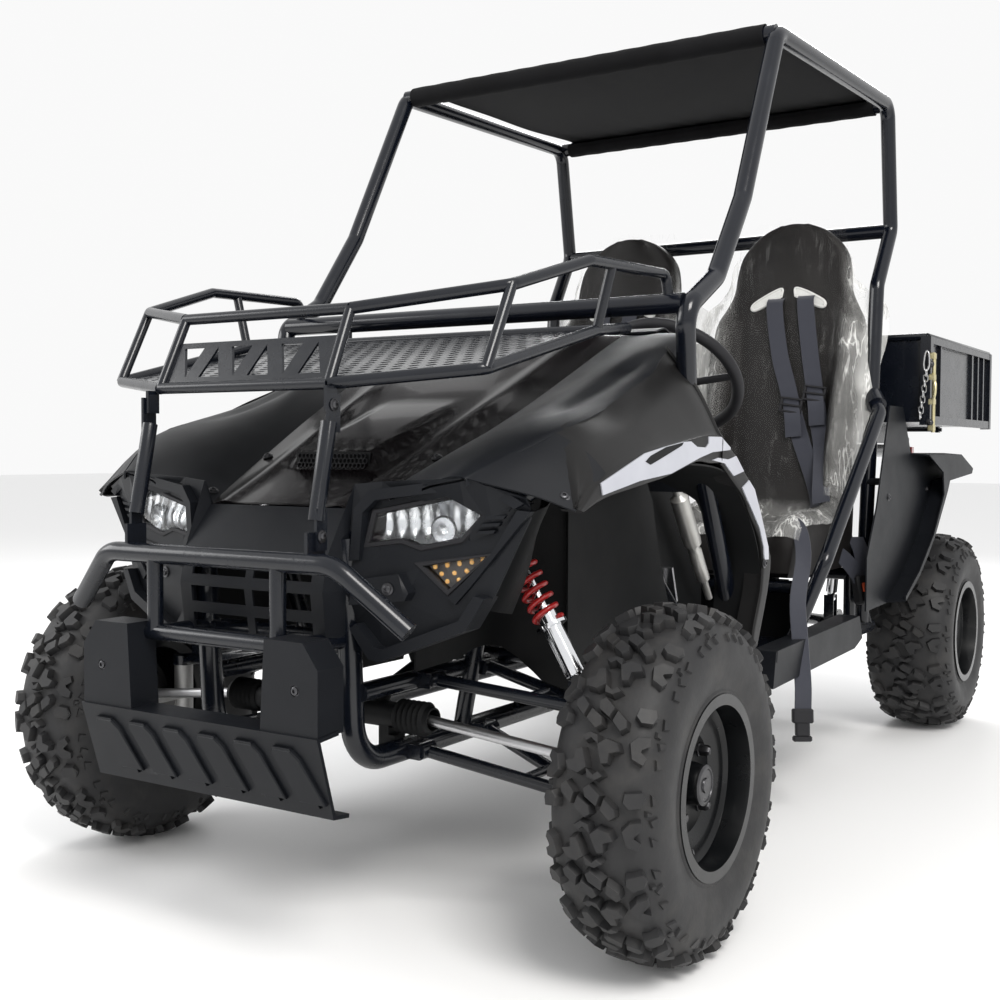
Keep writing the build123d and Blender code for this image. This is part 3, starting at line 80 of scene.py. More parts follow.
class Finish:
    def __init__(self, name, **values):
        self.material = bpy.data.materials.new(name)
        self.material.use_nodes = True
        self.tree = self.material.node_tree
        self.shader = self.tree.nodes["Principled BSDF"]
        for key, value in values.items():
            self.set(key, value)

    def node(self, kind, settings=None, inputs=None, out=0):
        made = self.tree.nodes.new(kind)
        for key, value in (settings or {}).items():
            setattr(made, key, value)
        for key, value in (inputs or {}).items():
            if isinstance(value, Wire):
                self.tree.links.new(value.socket, made.inputs[key])
            else:
                made.inputs[key].default_value = value
        return Wire(self, made.outputs[out])

    def set(self, name, value):
        socket = self.shader.inputs[name.replace("_", " ")]
        if isinstance(value, Wire):
            self.tree.links.new(value.socket, socket)
        elif hasattr(value, "__len__") and len(value) == 3:
            socket.default_value = (*value, 1)
        else:
            socket.default_value = value
        return self

    def place(self):
        return self.node("ShaderNodeTexCoord", out=3)

    def axis(self, letter):
        return self.node("ShaderNodeSeparateXYZ", None, {0: self.place()}, out="XYZ".index(letter))

    def noise(self, scale, detail=3.0, rough=0.55, stretch=None):
        vector = self.place()
        if stretch:
            vector = self.node("ShaderNodeMapping", None, {"Vector": vector, "Scale": stretch})
        return self.node(
            "ShaderNodeTexNoise", None,
            {"Vector": vector, "Scale": scale, "Detail": detail, "Roughness": rough},
        )

    def cells(self, scale):
        return self.node("ShaderNodeTexVoronoi", None, {"Vector": self.place(), "Scale": scale})

    def mix(self, share, low, high):
        tones = {0: share, 6: (*low, 1), 7: (*high, 1)}
        return self.node("ShaderNodeMix", {"data_type": "RGBA"}, tones, 2)

    def bump(self, height, strength, distance):
        values = {"Strength": strength, "Distance": distance, "Height": height}
        return self.set("Normal", self.node("ShaderNodeBump", None, values))


def powderCoat(name, colour, rough, peel):
    # baked paint on steel: a faint orange peel and a little dust in the gloss
    finish = Finish(name, Coat_Weight=0.2, Coat_Roughness=0.08, Specular_IOR_Level=0.35)
    dust = finish.noise(9, 4).between(0.45, 0.8)
    lighter = tuple(c * 1.6 + 0.003 for c in colour)
    finish.set("Base Color", finish.mix(dust * 0.35, colour, lighter))
    finish.set("Roughness", finish.noise(30, 2) * 0.16 + (rough - 0.08))
    return finish.bump(finish.noise(420, 2), peel, 0.0006)


def mouldedPlastic(name, colour, rough, grain, grainScale=900):
    finish = Finish(name, Specular_IOR_Level=0.2)
    cloud = finish.noise(5, 5).between(0.35, 0.75)
    finish.set("Base Color", finish.mix(cloud * 0.6, colour, tuple(c * 1.4 + 0.0015 for c in colour)))
    finish.set("Roughness", finish.noise(14, 3) * 0.14 + (rough - 0.07))
    return finish.bump(finish.cells(grainScale), grain, 0.0005)


def mottled(name, tones, grain, rough, values):
    # colour between two tones over one noise, roughness over another
    finish = Finish(name, **values)
    finish.set("Base Color", finish.mix(finish.noise(*grain), *tones))
    scale, detail, spread, least = rough
    return finish.set("Roughness", finish.noise(scale, detail) * spread + least)


# material, its two tones, their noise, the roughness's noise, spread and least, and fixed values
mottledFinishes = {
    "red": (
        "springRed", ((0.32, 0.01, 0.012), (0.5, 0.02, 0.018)), (60, 3), (80, 2, 0.2, 0.22),
        {"Coat_Weight": 0.4, "Coat_Roughness": 0.1},
    ),
    "strut": (
        "strutAluminium", ((0.4, 0.4, 0.38), (0.58, 0.57, 0.55)), (30, 3), (50, 2, 0.14, 0.28),
        {"Metallic": 0.7},
    ),
    "zinc": (
        "yellowZinc", ((0.5, 0.42, 0.2), (0.7, 0.66, 0.45)), (25, 4), (40, 3, 0.2, 0.25), {"Metallic": 0.9},
    ),
    "silver": (
        "silverStripe", ((0.42, 0.43, 0.48), (0.56, 0.57, 0.62)), (12, 4), (25, 3, 0.15, 0.25),
        {"Metallic": 0.35, "Coat_Weight": 0.5},
    ),
    "screw": (
        "screw", ((0.05, 0.05, 0.055), (0.1, 0.1, 0.105)), (60, 3), (50, 3, 0.16, 0.24), {"Metallic": 0.85},
    ),
    "nut": (
        "nut", ((0.03, 0.03, 0.032), (0.08, 0.08, 0.085)), (60, 3), (50, 3, 0.16, 0.22), {"Metallic": 0.85},
    ),
    "brightSteel": (
        "brightSteel", ((0.45, 0.45, 0.46), (0.6, 0.6, 0.6)), (60, 3), (50, 3, 0.16, 0.16),
        {"Metallic": 0.85},
    ),
    "orange": (
        "buckleOrange", ((0.72, 0.07, 0.015), (0.85, 0.12, 0.03)), (70, 3), (40, 2, 0.15, 0.32),
        {"Coat_Weight": 0.3},
    ),
}
finishes = {}
seatMiddle = 240       # mm from the vehicle's middle


def makeFinishes():
    finishes["frame"] = powderCoat("framePowderCoat", (0.003, 0.0042, 0.0075), 0.26, 0.12)
    finishes["cage"] = powderCoat("cagePowderCoat", (0.003, 0.0042, 0.008), 0.2, 0.08)
    rim = powderCoat("rimGlossBlack", (0.002, 0.0024, 0.003), 0.3, 0.04)
    finishes["rim"] = rim.set("Specular IOR Level", 0.25)
    finishes["body"] = mouldedPlastic("bodyPlastic", (0.0052, 0.006, 0.008), 0.44, 0.25)
    finishes["fender"] = mouldedPlastic("fenderPlastic", (0.008, 0.0078, 0.008), 0.4, 0.14)
    finishes["liner"] = mouldedPlastic("linerPlastic", (0.0025, 0.0028, 0.0032), 0.58, 0.2, 500)
    finishes["grip"] = mouldedPlastic("gripPlastic", (0.016, 0.016, 0.018), 0.5, 0.3, 600)

    gloss = Finish("hoodLacquer", Base_Color=(0.0035, 0.0025, 0.003), Coat_Weight=0.16, Coat_Roughness=0.04)
    gloss.set("Specular IOR Level", 0.2)
    gloss.set("Roughness", gloss.noise(3, 3) * 0.12 + 0.16)
    finishes["gloss"] = gloss

    chrome = Finish("polishedChrome", Base_Color=(0.78, 0.79, 0.81), Metallic=1.0)
    finishes["chrome"] = chrome.set("Roughness", chrome.noise(60, 3) * 0.12 + 0.05)

    mirror = Finish("lampReflector", Base_Color=(0.9, 0.91, 0.93), Metallic=0.85)
    finishes["reflector"] = mirror.set("Roughness", mirror.noise(30, 3) * 0.14 + 0.2)

    steel = Finish("bareSteel", Metallic=1.0)
    streak = steel.noise(40, 4, 0.6, (1, 1, 30))
    steel.set("Base Color", steel.mix(streak, (0.36, 0.36, 0.37), (0.6, 0.6, 0.61)))
    finishes["steel"] = steel.set("Roughness", streak * 0.25 + 0.22)

    alloy = Finish("castAlloy", Metallic=0.9)
    sand = alloy.noise(220, 5)
    alloy.set("Base Color", alloy.mix(alloy.noise(7, 3), (0.3, 0.3, 0.3), (0.46, 0.455, 0.44)))
    alloy.set("Roughness", sand * 0.25 + 0.38)
    finishes["alloy"] = alloy.bump(sand, 0.3, 0.0008)

    exhaust = Finish("exhaustSteel", Metallic=0.85)
    heat = exhaust.noise(9, 4)
    exhaust.set("Base Color", exhaust.mix(heat, (0.16, 0.14, 0.12), (0.36, 0.34, 0.31)))
    finishes["exhaust"] = exhaust.set("Roughness", heat * 0.3 + 0.3)

    finishes["lens"] = Finish(
        "clearLens", Base_Color=(0.95, 0.97, 0.98), Roughness=0.03, Transmission_Weight=1.0, IOR=1.35,
    )
    amber = Finish("signalLeds", Roughness=0.18, Coat_Weight=1.0, Emission_Strength=0.35)
    amber.set("Base Color", amber.mix(amber.noise(90, 2), (0.75, 0.36, 0.08), (0.9, 0.6, 0.25)))
    finishes["amber"] = amber.set("Emission Color", (0.9, 0.5, 0.15))
    bed = Finish("signalBed", Roughness=0.35)
    ribs = (bed.axis("X") * 2100 + bed.axis("Z") * 2100).math("SINE")
    bed.set("Base Color", bed.mix(ribs * 0.5 + 0.5, (0.03, 0.03, 0.033), (0.2, 0.2, 0.21)))
    finishes["signalBed"] = bed.bump(ribs, 0.6, 0.001)

    tail = Finish("tailLens", Base_Color=(0.35, 0.01, 0.012), Roughness=0.1, Coat_Weight=1.0)
    finishes["tail"] = tail.bump(tail.cells(260), 0.3, 0.001)

    rubber = Finish("tyreRubber")
    dust = rubber.noise(16, 5, 0.65).between(0.42, 0.75)
    rubber.set("Base Color", rubber.mix(dust * 0.6, (0.008, 0.008, 0.009), (0.03, 0.028, 0.026)))
    rubber.set("Roughness", rubber.noise(30, 4) * 0.2 + 0.5)
    finishes["rubber"] = rubber.bump(rubber.noise(160, 4), 0.25, 0.001)

    vinyl = Finish("seatVinyl", Specular_IOR_Level=0.2)
    crease = vinyl.noise(14, 6, 0.7)
    vinyl.set("Base Color", vinyl.mix(crease, (0.005, 0.0043, 0.0043), (0.013, 0.0115, 0.011)))
    vinyl.set("Roughness", crease * 0.25 + 0.4)
    finishes["vinyl"] = vinyl.bump(vinyl.cells(700), 0.35, 0.0006)

    cloth = Finish("canopyCloth", Sheen_Weight=0.03, Sheen_Roughness=0.5, Specular_IOR_Level=0.1)
    weave = (cloth.axis("X") * 4200).math("SINE") * (cloth.axis("Y") * 4200).math("SINE")
    shade = cloth.noise(5, 5).between(0.3, 0.8)
    cloth.set("Base Color", cloth.mix(shade, (0.0028, 0.0028, 0.0032), (0.008, 0.008, 0.009)))
    cloth.set("Roughness", shade * 0.1 + 0.78)
    finishes["cloth"] = cloth.bump(weave, 0.4, 0.0004)

    for key, (name, tones, grain, rough, values) in mottledFinishes.items():
        finishes[key] = mottled(name, tones, grain, rough, values)

    pale = Finish("palePlastic", Roughness=0.45)
    tone = pale.mix(pale.noise(50, 3), (0.55, 0.55, 0.53), (0.7, 0.7, 0.68))
    finishes["pale"] = pale.set("Base Color", tone)

    film = Finish("clearFilm", Base_Color=(0.74, 0.74, 0.72), IOR=1.4)
    apart = (film.axis("X").math("ABSOLUTE") - seatMiddle / 1000).math("ABSOLUTE")
    loose = apart.between(0.13, 0.19)
    creases = []
    for scale, width in ((8, 0.02), (17, 0.03)):
        level = film.noise(scale, 3, 0.6, (2.2, 1.0, 0.34)) - 0.5
        creases.append(level.math("ABSOLUTE").between(width, 0.0))
    # the pale film turns more opaque along its crease lines and in patches: painted highlights on the
    # film's creases, strongest over the loose edges
    glarePatch = film.noise(6, 2).between(0.46, 0.66)
    creaseAndHighlight = (creases[0] * 0.6 + creases[1] * 0.45) * (glarePatch * 0.8 + 0.2)
    low = film.axis("Z").between(0.66, 0.61)
    loose = loose.math("MAXIMUM", low)
    flap = apart.between(0.19, 0.212) + film.axis("Z").between(1.17, 1.2) * apart.between(0.15, 0.165)
    # alpha: painted crease highlights and glare patches over the loose film, a little more at the bag's
    # edges
    film.set("Alpha", loose * (creaseAndHighlight * 1.7 + glarePatch * 0.26 + 0.16) + creaseAndHighlight * 0.08 + flap * 0.26 + 0.01)
    film.set("Roughness", film.noise(40, 3) * 0.18 + 0.08)
    finishes["film"] = film.bump(creaseAndHighlight + film.noise(30, 4, 0.6) * 0.5, 0.8, 0.008)

    webbing = Finish("harnessWebbing", Sheen_Weight=0.3)
    rows = (webbing.axis("Z") * 3600).math("SINE")
    webbing.set("Base Color", webbing.mix(rows * 0.5 + 0.5, (0.012, 0.014, 0.024), (0.03, 0.033, 0.05)))
    webbing.set("Roughness", webbing.noise(60, 3) * 0.1 + 0.62)
    finishes["webbing"] = webbing.bump(rows, 0.5, 0.0006)


makeFinishes()
print("finishes:", len(finishes))

nodeFinish = {
    "frame": (
        "main_frame bull_bar cargo_rack rack_floor rack_struts control_arms swing_arm floor_pan bed_tub "
        "tailgate lower_shaft"
    ),
    "cage": "cage_left cage_right cage_crossbars",
    "rim": "front_rim_left front_rim_right rear_rims",
    "body": "hood front_fascia bumper_guard sill_panels dash_panel quarter_panels",
    "fender": "front_fenders",
    "liner": "wheel_well_liners rack_housing",
    "grip": "steering_wheel shift_lever",
    "gloss": "hood_panel",
    "chrome": "headlamps shock_absorbers tilt_strut",
    "steel": "steering_shaft steering_rack rear_axle drive_chain pedals",
    "alloy": "knuckle_left knuckle_right engine",
    "exhaust": "exhaust",
    "red": "coil_springs",
    "zinc": "bed_latches",
    "lens": "headlamp_lenses",
    "amber": "turn_signals",
    "tail": "tail_lamps",
    "rubber": "front_tyre_left front_tyre_right rear_tyres",
    "vinyl": "seat_left seat_right",
    "cloth": "roof_canopy",
    "webbing": "harness_straps",
}
for finishName, names in nodeFinish.items():
    for name in names.split():
        mesh = nodes[name].data
        mesh.materials.clear()
        mesh.materials.append(finishes[finishName].material)


# camera and studio

def makeCamera():
    # pinhole solved against the wheels, the level ground and the vehicle's symmetry
    view = {
        "place": (1.3945, -1.7685, 0.7755), "yaw": 0.5674, "pitch": -0.0394, "roll": 0.0042,
        "focal": 1.27278,
    }
    yaw, pitch, roll = view["yaw"], view["pitch"], view["roll"]
    ahead = Vector((-math.sin(yaw) * math.cos(pitch), math.cos(yaw) * math.cos(pitch), math.sin(pitch)))
    right = Vector((math.cos(yaw), math.sin(yaw), 0))
    up = right.cross(ahead)
    turnedRight = math.cos(roll) * right + math.sin(roll) * up
    turnedUp = math.cos(roll) * up - math.sin(roll) * right
    data = bpy.data.cameras.new("camera")
    data.sensor_width = 36
    data.sensor_fit = "HORIZONTAL"
    data.lens = view["focal"] * 36
    data.clip_start = 0.05
    camera = bpy.data.objects.new("camera", data)
    bpy.context.scene.collection.objects.link(camera)
    turn = Matrix((turnedRight, turnedUp, -ahead)).transposed().to_4x4()
    x, y, z = view["place"]
    camera.matrix_world = Matrix.Translation((x, y + frontAxleY, z)) @ turn
    bpy.context.scene.camera = camera


def addLamp(name, place, aim, size, power, colour=(1, 1, 1)):
    data = bpy.data.lights.new(name, "AREA")
    data.shape = "RECTANGLE"
    data.size, data.size_y = size
    data.energy = power
    data.color = colour
    lamp = bpy.data.objects.new(name, data)
    bpy.context.scene.collection.objects.link(lamp)
    direction = Vector(aim) - Vector(place)
    lamp.matrix_world = Matrix.Translation(place) @ direction.to_track_quat("-Z", "Y").to_matrix().to_4x4()


def makeStudio():
    mesh = bpy.data.meshes.new("studioFloor")
    reach = 30             # metres each way
    corners = [(x * reach, y * reach, 0) for x, y in ((-1, -1), (1, -1), (1, 1), (-1, 1))]
    mesh.from_pydata(corners, [], [(0, 1, 2, 3)])
    floor = bpy.data.objects.new("studioFloor", mesh)
    bpy.context.scene.collection.objects.link(floor)
    pale = Finish("paleFloor", Base_Color=(0.86, 0.86, 0.86), Roughness=0.9)
    mesh.materials.append(pale.material)
    world = bpy.data.worlds.new("studio")
    world.use_nodes = True
    world.node_tree.nodes["Background"].inputs["Color"].default_value = (1, 1, 1, 1)
    world.node_tree.nodes["Background"].inputs["Strength"].default_value = 0.95
    bpy.context.scene.world = world
    addLamp("keyLight", (3.4, -3.2, 4.6), (0, -0.3, 0.7), (2.2, 2.2), 260, (1, 0.98, 0.95))
    addLamp("fillLight", (-4.2, -3.0, 2.6), (0, 0, 0.7), (3.0, 2.0), 90)
    addLamp("rearLight", (-1.5, 4.5, 4.0), (0, 0, 1.0), (3.0, 1.6), 160)


makeCamera()
makeStudio()
bpy.context.scene.view_settings.view_transform = "Standard"
print("camera and studio ready")


# shared mesh helpers

def newPiece(name, verts, faces, finish, smooth=None, recalc=True):
    mesh = bpy.data.meshes.new(name)
    mesh.from_pydata([tuple(v) for v in verts], [], faces)
    mesh.validate()
    if recalc:
        shape = bmesh.new()
        shape.from_mesh(mesh)
        bmesh.ops.recalc_face_normals(shape, faces=shape.faces)
        shape.to_mesh(mesh)
        shape.free()
    piece = bpy.data.objects.new(name, mesh)
    bpy.context.scene.collection.objects.link(piece)
    mesh.materials.append(finishes[finish].material)
    if smooth is not None:
        shadeSmooth(mesh, smooth)
    return piece


def shadeSmooth(mesh, angle):
    # smooth shading with edges sharper than the angle kept crisp
    mesh.shade_smooth()
    shape = bmesh.new()
    shape.from_mesh(mesh)
    limit = math.radians(angle)
    for edge in shape.edges:
        edge.smooth = len(edge.link_faces) == 2 and edge.calc_face_angle(0) < limit
    shape.to_mesh(mesh)
    shape.free()


def applyModifiers(piece):
    # bake the modifiers into the mesh, so the finished piece is plain
    graph = bpy.context.evaluated_depsgraph_get()
    mesh = bpy.data.meshes.new_from_object(piece.evaluated_get(graph))
    piece.modifiers.clear()
    piece.data = mesh
    return piece


def mirrorVerts(verts):
    return [Vector((-v[0], v[1], v[2])) for v in verts]


def combine(groups):
    # several (verts, faces) meshes as one
    verts, faces = [], []
    for groupVerts, groupFaces in groups:
        start = len(verts)
        verts += list(groupVerts)
        faces += [tuple(i + start for i in face) for face in groupFaces]
    return verts, faces


def dress(piece, slotName, *replaced, body="chassis"):
    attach(piece, body)
    if replaced:
        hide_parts(*replaced)
    return piece


def addPiece(name, groups, finish, smooth, slotName, *replaced, body="chassis"):
    # groups of (verts, faces) as one dressed piece
    return dress(newPiece(name, *combine(groups), finish, smooth), slotName, *replaced, body=body)


def thickened(piece, thickness, smooth):
    solid = piece.modifiers.new("thickness", "SOLIDIFY")
    solid.thickness = thickness
    solid.offset = -1
    applyModifiers(piece)
    shadeSmooth(piece.data, smooth)
    return piece


def addPanel(name, groups, finish, smooth, slotName, *replaced, thickness=0.003):
    # open sheets, thickened inwards
    panel = thickened(newPiece(name, *combine(groups), finish), thickness, smooth)
    return dress(panel, slotName, *replaced)


def joinRings(first, second, count):
    # quads between two closed rings of points, given by where each ring starts
    after = [(k + 1) % count for k in range(count)]
    return [(first + k, first + n, second + n, second + k) for k, n in enumerate(after)]


def plate(front, back):
    # a closed plate between an outline and its copy
    count = len(front)
    faces = joinRings(0, count, count) + [tuple(range(count)), tuple(range(count, 2 * count))[::-1]]
    return front + back, faces


# tyres: a rounded carcass, tread blocks with a tapered edge, and shallow side knobs

tyreLook = {
    "segments": 112,
    "pitches": 14,
    "blockTaper": 2.2,       # mm narrower at the top on each side
    "blockSink": 2.0,
    "profileWidth": 172,     # the width that the profile below is drawn for
    "treadRadius": 258.0,    # where the blocks' distances along are measured
    "radius": 271.4,         # over the blocks
}

# carcass profile: distance from the tyre's middle, radius, both in mm, for a 172 mm tyre
carcassProfile = [
    (0, 257.5), (22, 257.0), (42, 254.5), (58, 249.5), (69, 241.5), (77, 230.0), (82.5, 217.0),
    (85.6, 202.0), (85.8, 186.0), (83.2, 168.0), (79.0, 154.0), (77.5, 147.0), (79.5, 143.5), (79.0, 139.0),
]

# tread blocks of one pitch on one side: arc distance from the middle, distance along, and height
treadBlocks = [
    (14.0, [(-9, -46), (2, -53), (21, -38), (15, -22), (-6, -33)]),
    (13.5, [(23, -37), (41, -24), (43, -12), (33, -5), (17, -20)]),
    (14.0, [(4, 12), (16, 2), (34, 6), (40, 18), (27, 24), (25, 38), (14, 40), (8, 27)]),
    (12.5, [(48, -46), (70, -50), (75, -38), (70, -25), (55, -22), (46, -32)]),
    (12.0, [(46, 4), (57, -8), (71, -10), (74, 2), (62, 8), (60, 17), (71, 24), (66, 34), (52, 28)]),
    (13.0, [(-9, 44), (6, 50), (14, 46), (22, 53), (10, 62), (-6, 58)]),
    (4.0, [(83, -46), (100, -34), (86, -26)]),
    (4.0, [(82, -6), (98, -12), (101, -4), (88, 6)]),
    (4.0, [(84, 18), (101, 30), (87, 36)]),
    (5.5, [(77, -22), (88, -18), (86, -11), (77, -12)]),
]


def carcassCurve(width):
    # arc length along the profile, so that blocks can be laid on it
    points = [(x * width / tyreLook["profileWidth"], r) for x, r in carcassProfile]
    lengths = [0.0]
    for (x0, r0), (x1, r1) in zip(points, points[1:]):
        lengths.append(lengths[-1] + math.hypot(x1 - x0, r1 - r0))

    def place(across, height):
        side = -1 if across < 0 else 1
        reach = min(abs(across), lengths[-1] - 0.01)
        k = max(i for i in range(len(lengths) - 1) if lengths[i] <= reach)
        share = (reach - lengths[k]) / (lengths[k + 1] - lengths[k])
        share = share * share * (3 - 2 * share) * 0.4 + share * 0.6
        x = points[k][0] + share * (points[k + 1][0] - points[k][0])
        r = points[k][1] + share * (points[k + 1][1] - points[k][1])
        dx, dr = points[k + 1][0] - points[k][0], points[k + 1][1] - points[k][1]
        size = math.hypot(dx, dr)
        return side * (x - dr / size * height), r + dx / size * height

    return place, points


def tyreMesh(width):
    place, profile = carcassCurve(width)
    bead = profile[-1][0] - 6
    ring = [(-x, r) for x, r in profile[::-1]] + profile[1:] + [(bead, 131), (-bead, 131)]
    segments = tyreLook["segments"]
    verts, faces = [], []
    for step in range(segments):
        turn = 2 * math.pi * step / segments
        for x, r in ring:
            verts.append((x, r * math.cos(turn), r * math.sin(turn)))
    count = len(ring)
    for step in range(segments):
        faces += joinRings(step * count, (step + 1) % segments * count, count)
    groups = [(verts, faces)]
    scale = width / tyreLook["profileWidth"]
    pitch = 2 * math.pi / tyreLook["pitches"]
    for number in range(tyreLook["pitches"]):
        for side in (1, -1):
            start = pitch * (number + (0.5 if side < 0 else 0))
            for height, outline in treadBlocks:
                middle = [sum(p[axis] for p in outline) / len(outline) for axis in (0, 1)]
                levels = ((-tyreLook["blockSink"], -0.8), (height - 1.2, 1.0), (height, 1.0))
                rings = []
                for depth, (lift, inset) in enumerate(levels):
                    loop = []
                    for u, v in outline:
                        du, dv = u - middle[0], v - middle[1]
                        size = math.hypot(du, dv) or 1
                        taper = tyreLook["blockTaper"] * (1.0 if depth == 1 else 1.35)
                        pull = inset * (taper if depth else 1.0)
                        u2 = (u - du / size * pull) * scale
                        v2 = v - dv / size * pull
                        x, r = place(u2, lift)
                        r = min(r, tyreLook["radius"])
                        x = max(-width / 2 + 0.2, min(width / 2 - 0.2, x))
                        turn = start + v2 / tyreLook["treadRadius"] * (1 if side > 0 else -1)
                        loop.append((side * x, r * math.cos(turn), r * math.sin(turn)))
                    rings.append(loop)
                n = len(outline)
                blockVerts = [p for loop in rings for p in loop]
                blockFaces = [tuple(range(n))[::-1], tuple(range(2 * n, 3 * n))]
                blockFaces += joinRings(0, n, n) + joinRings(n, 2 * n, n)
                groups.append((blockVerts, blockFaces))
    return combine(groups)


def makeTyres():
    tyres = {
        "frontTyreLeft": ("left_front_wheel", "front_tyre_left", 172, [(579, 0)]),
        "frontTyreRight": ("right_front_wheel", "front_tyre_right", 172, [(-579, 0)]),
        "rearTyres": ("rear_wheelset", "rear_tyres", 228, [(479, 1944), (-479, 1944)]),
    }
    for name, (body, node, width, places) in tyres.items():
        base, faces = tyreMesh(width)
        groups = []
        for x, station in places:
            middle = at(x, station, 0) + Vector((0, 0, axleZ))
            side = 1 if x > 0 else -1
            groups.append(([Vector((side * p[0], p[1], p[2])) / 1000 + middle for p in base], faces))
        addPiece(name, groups, "rubber", 28, "tyre_rubber", node, body=body)


makeTyres()
print("tyres ready")

# surfaces: smooth lines through points, grids, closed sheets and swept sections

def curveThrough(points, steps):
    points = [Vector(p) for p in points]
    ends = [points[0] * 2 - points[1]] + points + [points[-1] * 2 - points[-2]]
    line = []
    for i in range(1, len(ends) - 2):
        a, b, c, d = ends[i - 1:i + 3]
        for step in range(steps):
            t = step / steps
            bend = (a * 2 - b * 5 + c * 4 - d) * t ** 2 + (b * 3 - a - c * 3 + d) * t ** 3
            line.append((b * 2 + (c - a) * t + bend) * 0.5)
    return line + [points[-1]]


def smoothGrid(rows, along, across):
    fine = [curveThrough(row, across) for row in rows]
    columns = [curveThrough([row[i] for row in fine], along) for i in range(len(fine[0]))]
    return [[column[k] for column in columns] for k in range(len(columns[0]))]


def openGrid(grid):
    width = len(grid[0])
    faces = []
    for r in range(len(grid) - 1):
        for c in range(width - 1):
            a = r * width + c
            faces.append((a, a + 1, a + width + 1, a + width))
    return [p for row in grid for p in row], faces


def gridAt(grid):
    return openGrid([[at(*p) for p in line] for line in grid])


def swept(line, section, up, closed=False):
    # a section of (side, lift) carried along a line; up gives the lift's direction
    verts, faces = [], []
    count, size = len(line), len(section)
    for i, point in enumerate(line):
        before = line[i - 1] if closed or i else point
        after = line[(i + 1) % count] if closed or i < count - 1 else point
        ahead = (after - before).normalized()
        normal = up[i] if isinstance(up, list) else Vector(up)
        side = ahead.cross(normal).normalized()
        lift = side.cross(ahead)
        verts += [point + side * u + lift * v for u, v in section]
    for i in range(count if closed else count - 1):
        faces += joinRings(i * size, (i + 1) % count * size, size)
    if not closed:
        faces.append(tuple(range(size))[::-1])
        faces.append(tuple((count - 1) * size + k for k in range(size)))
    return verts, faces


def roundSection(radius, sides):
    turns = [2 * math.pi * k / sides for k in range(sides)]
    return [(radius * math.cos(t), radius * math.sin(t)) for t in turns]


def bandSection(width, thick):
    # webbing: flat with folded edges that are a little thicker
    half, low, edge = width / 2, thick / 2, thick * 0.7
    return [
        (-half, 0), (-half + 0.0008, -edge), (-half + 0.004, -low),
        (half - 0.004, -low), (half - 0.0008, -edge), (half, 0),
        (half - 0.0008, edge), (half - 0.004, low), (-half + 0.004, low), (-half + 0.0008, edge),
    ]


def turned(profile, sides):
    # a profile of (radius, height) turned about Z; radius 0 closes an end
    verts, faces, rings = [], [], []
    for radius, height in profile:
        if radius < 1e-6:
            rings.append([len(verts)])
            verts.append(Vector((0, 0, height)))
        else:
            rings.append(list(range(len(verts), len(verts) + sides)))
            verts += [Vector((x, y, height)) for x, y in roundSection(radius, sides)]
    for low, high in zip(rings, rings[1:]):
        for k in range(sides):
            j = (k + 1) % sides
            if len(low) == 1:
                faces.append((low[0], high[j], high[k]))
            elif len(high) == 1:
                faces.append((low[k], low[j], high[0]))
            else:
                faces.append((low[k], low[j], high[j], high[k]))
    return verts, faces


def facing(normal, roll=0.0):
    # the turn that points Z along the normal
    return Vector(normal).to_track_quat("Z", "Y").to_matrix().to_4x4() @ Matrix.Rotation(roll, 4, "Z")


def placed(shape, place, normal=(0, 0, 1), roll=0.0, size=1.0):
    move = Matrix.Translation(place) @ facing(normal, roll) @ Matrix.Scale(size, 4)
    return [move @ Vector(v) for v in shape[0]], shape[1]


def repeated(name, shape, spots, finish, smooth=35):
    # Geometry Nodes set the shape on every spot: place, normal, roll and size
    pattern = newPiece(name + "Pattern", *shape, finish)
    mesh = bpy.data.meshes.new(name + "Spots")
    mesh.from_pydata([tuple(spot[0]) for spot in spots], [], [])
    mesh.attributes.new("turn", "FLOAT_VECTOR", "POINT")
    mesh.attributes.new("size", "FLOAT", "POINT")
    for i, (_, normal, roll, size) in enumerate(spots):
        mesh.attributes["turn"].data[i].vector = facing(normal, roll).to_euler()
        mesh.attributes["size"].data[i].value = size
    piece = bpy.data.objects.new(name, mesh)
    bpy.context.scene.collection.objects.link(piece)
    tree = bpy.data.node_groups.new(name, "GeometryNodeTree")
    tree.interface.new_socket("Geometry", in_out="INPUT", socket_type="NodeSocketGeometry")
    shapeInput = tree.interface.new_socket("Shape", in_out="INPUT", socket_type="NodeSocketObject")
    tree.interface.new_socket("Geometry", in_out="OUTPUT", socket_type="NodeSocketGeometry")
    start = tree.nodes.new("NodeGroupInput")
    end = tree.nodes.new("NodeGroupOutput")
    source, spread, real, paint = (
        tree.nodes.new("GeometryNode" + kind)
        for kind in ("ObjectInfo", "InstanceOnPoints", "RealizeInstances", "SetMaterial")
    )
    paint.inputs["Material"].default_value = finishes[finish].material
    links = [
        (start, "Shape", source, "Object"), (start, "Geometry", spread, "Points"),
        (source, "Geometry", spread, "Instance"),
    ]
    for field, kind, use in (("turn", "FLOAT_VECTOR", "Rotation"), ("size", "FLOAT", "Scale")):
        stored = tree.nodes.new("GeometryNodeInputNamedAttribute")
        stored.data_type = kind
        stored.inputs["Name"].default_value = field
        links.append((stored, "Attribute", spread, use))
    links += [
        (spread, "Instances", real, "Geometry"), (real, "Geometry", paint, "Geometry"),
        (paint, "Geometry", end, "Geometry"),
    ]
    for giver, output, taker, entry in links:
        tree.links.new(giver.outputs[output], taker.inputs[entry])
    modifier = piece.modifiers.new("spread", "NODES")
    modifier.node_group = tree
    modifier[shapeInput.identifier] = pattern
    applyModifiers(piece)
    bpy.data.objects.remove(pattern)
    bpy.data.node_groups.remove(tree)
    shadeSmooth(piece.data, smooth)
    return piece


# softened edges on the moulded and folded CAD parts

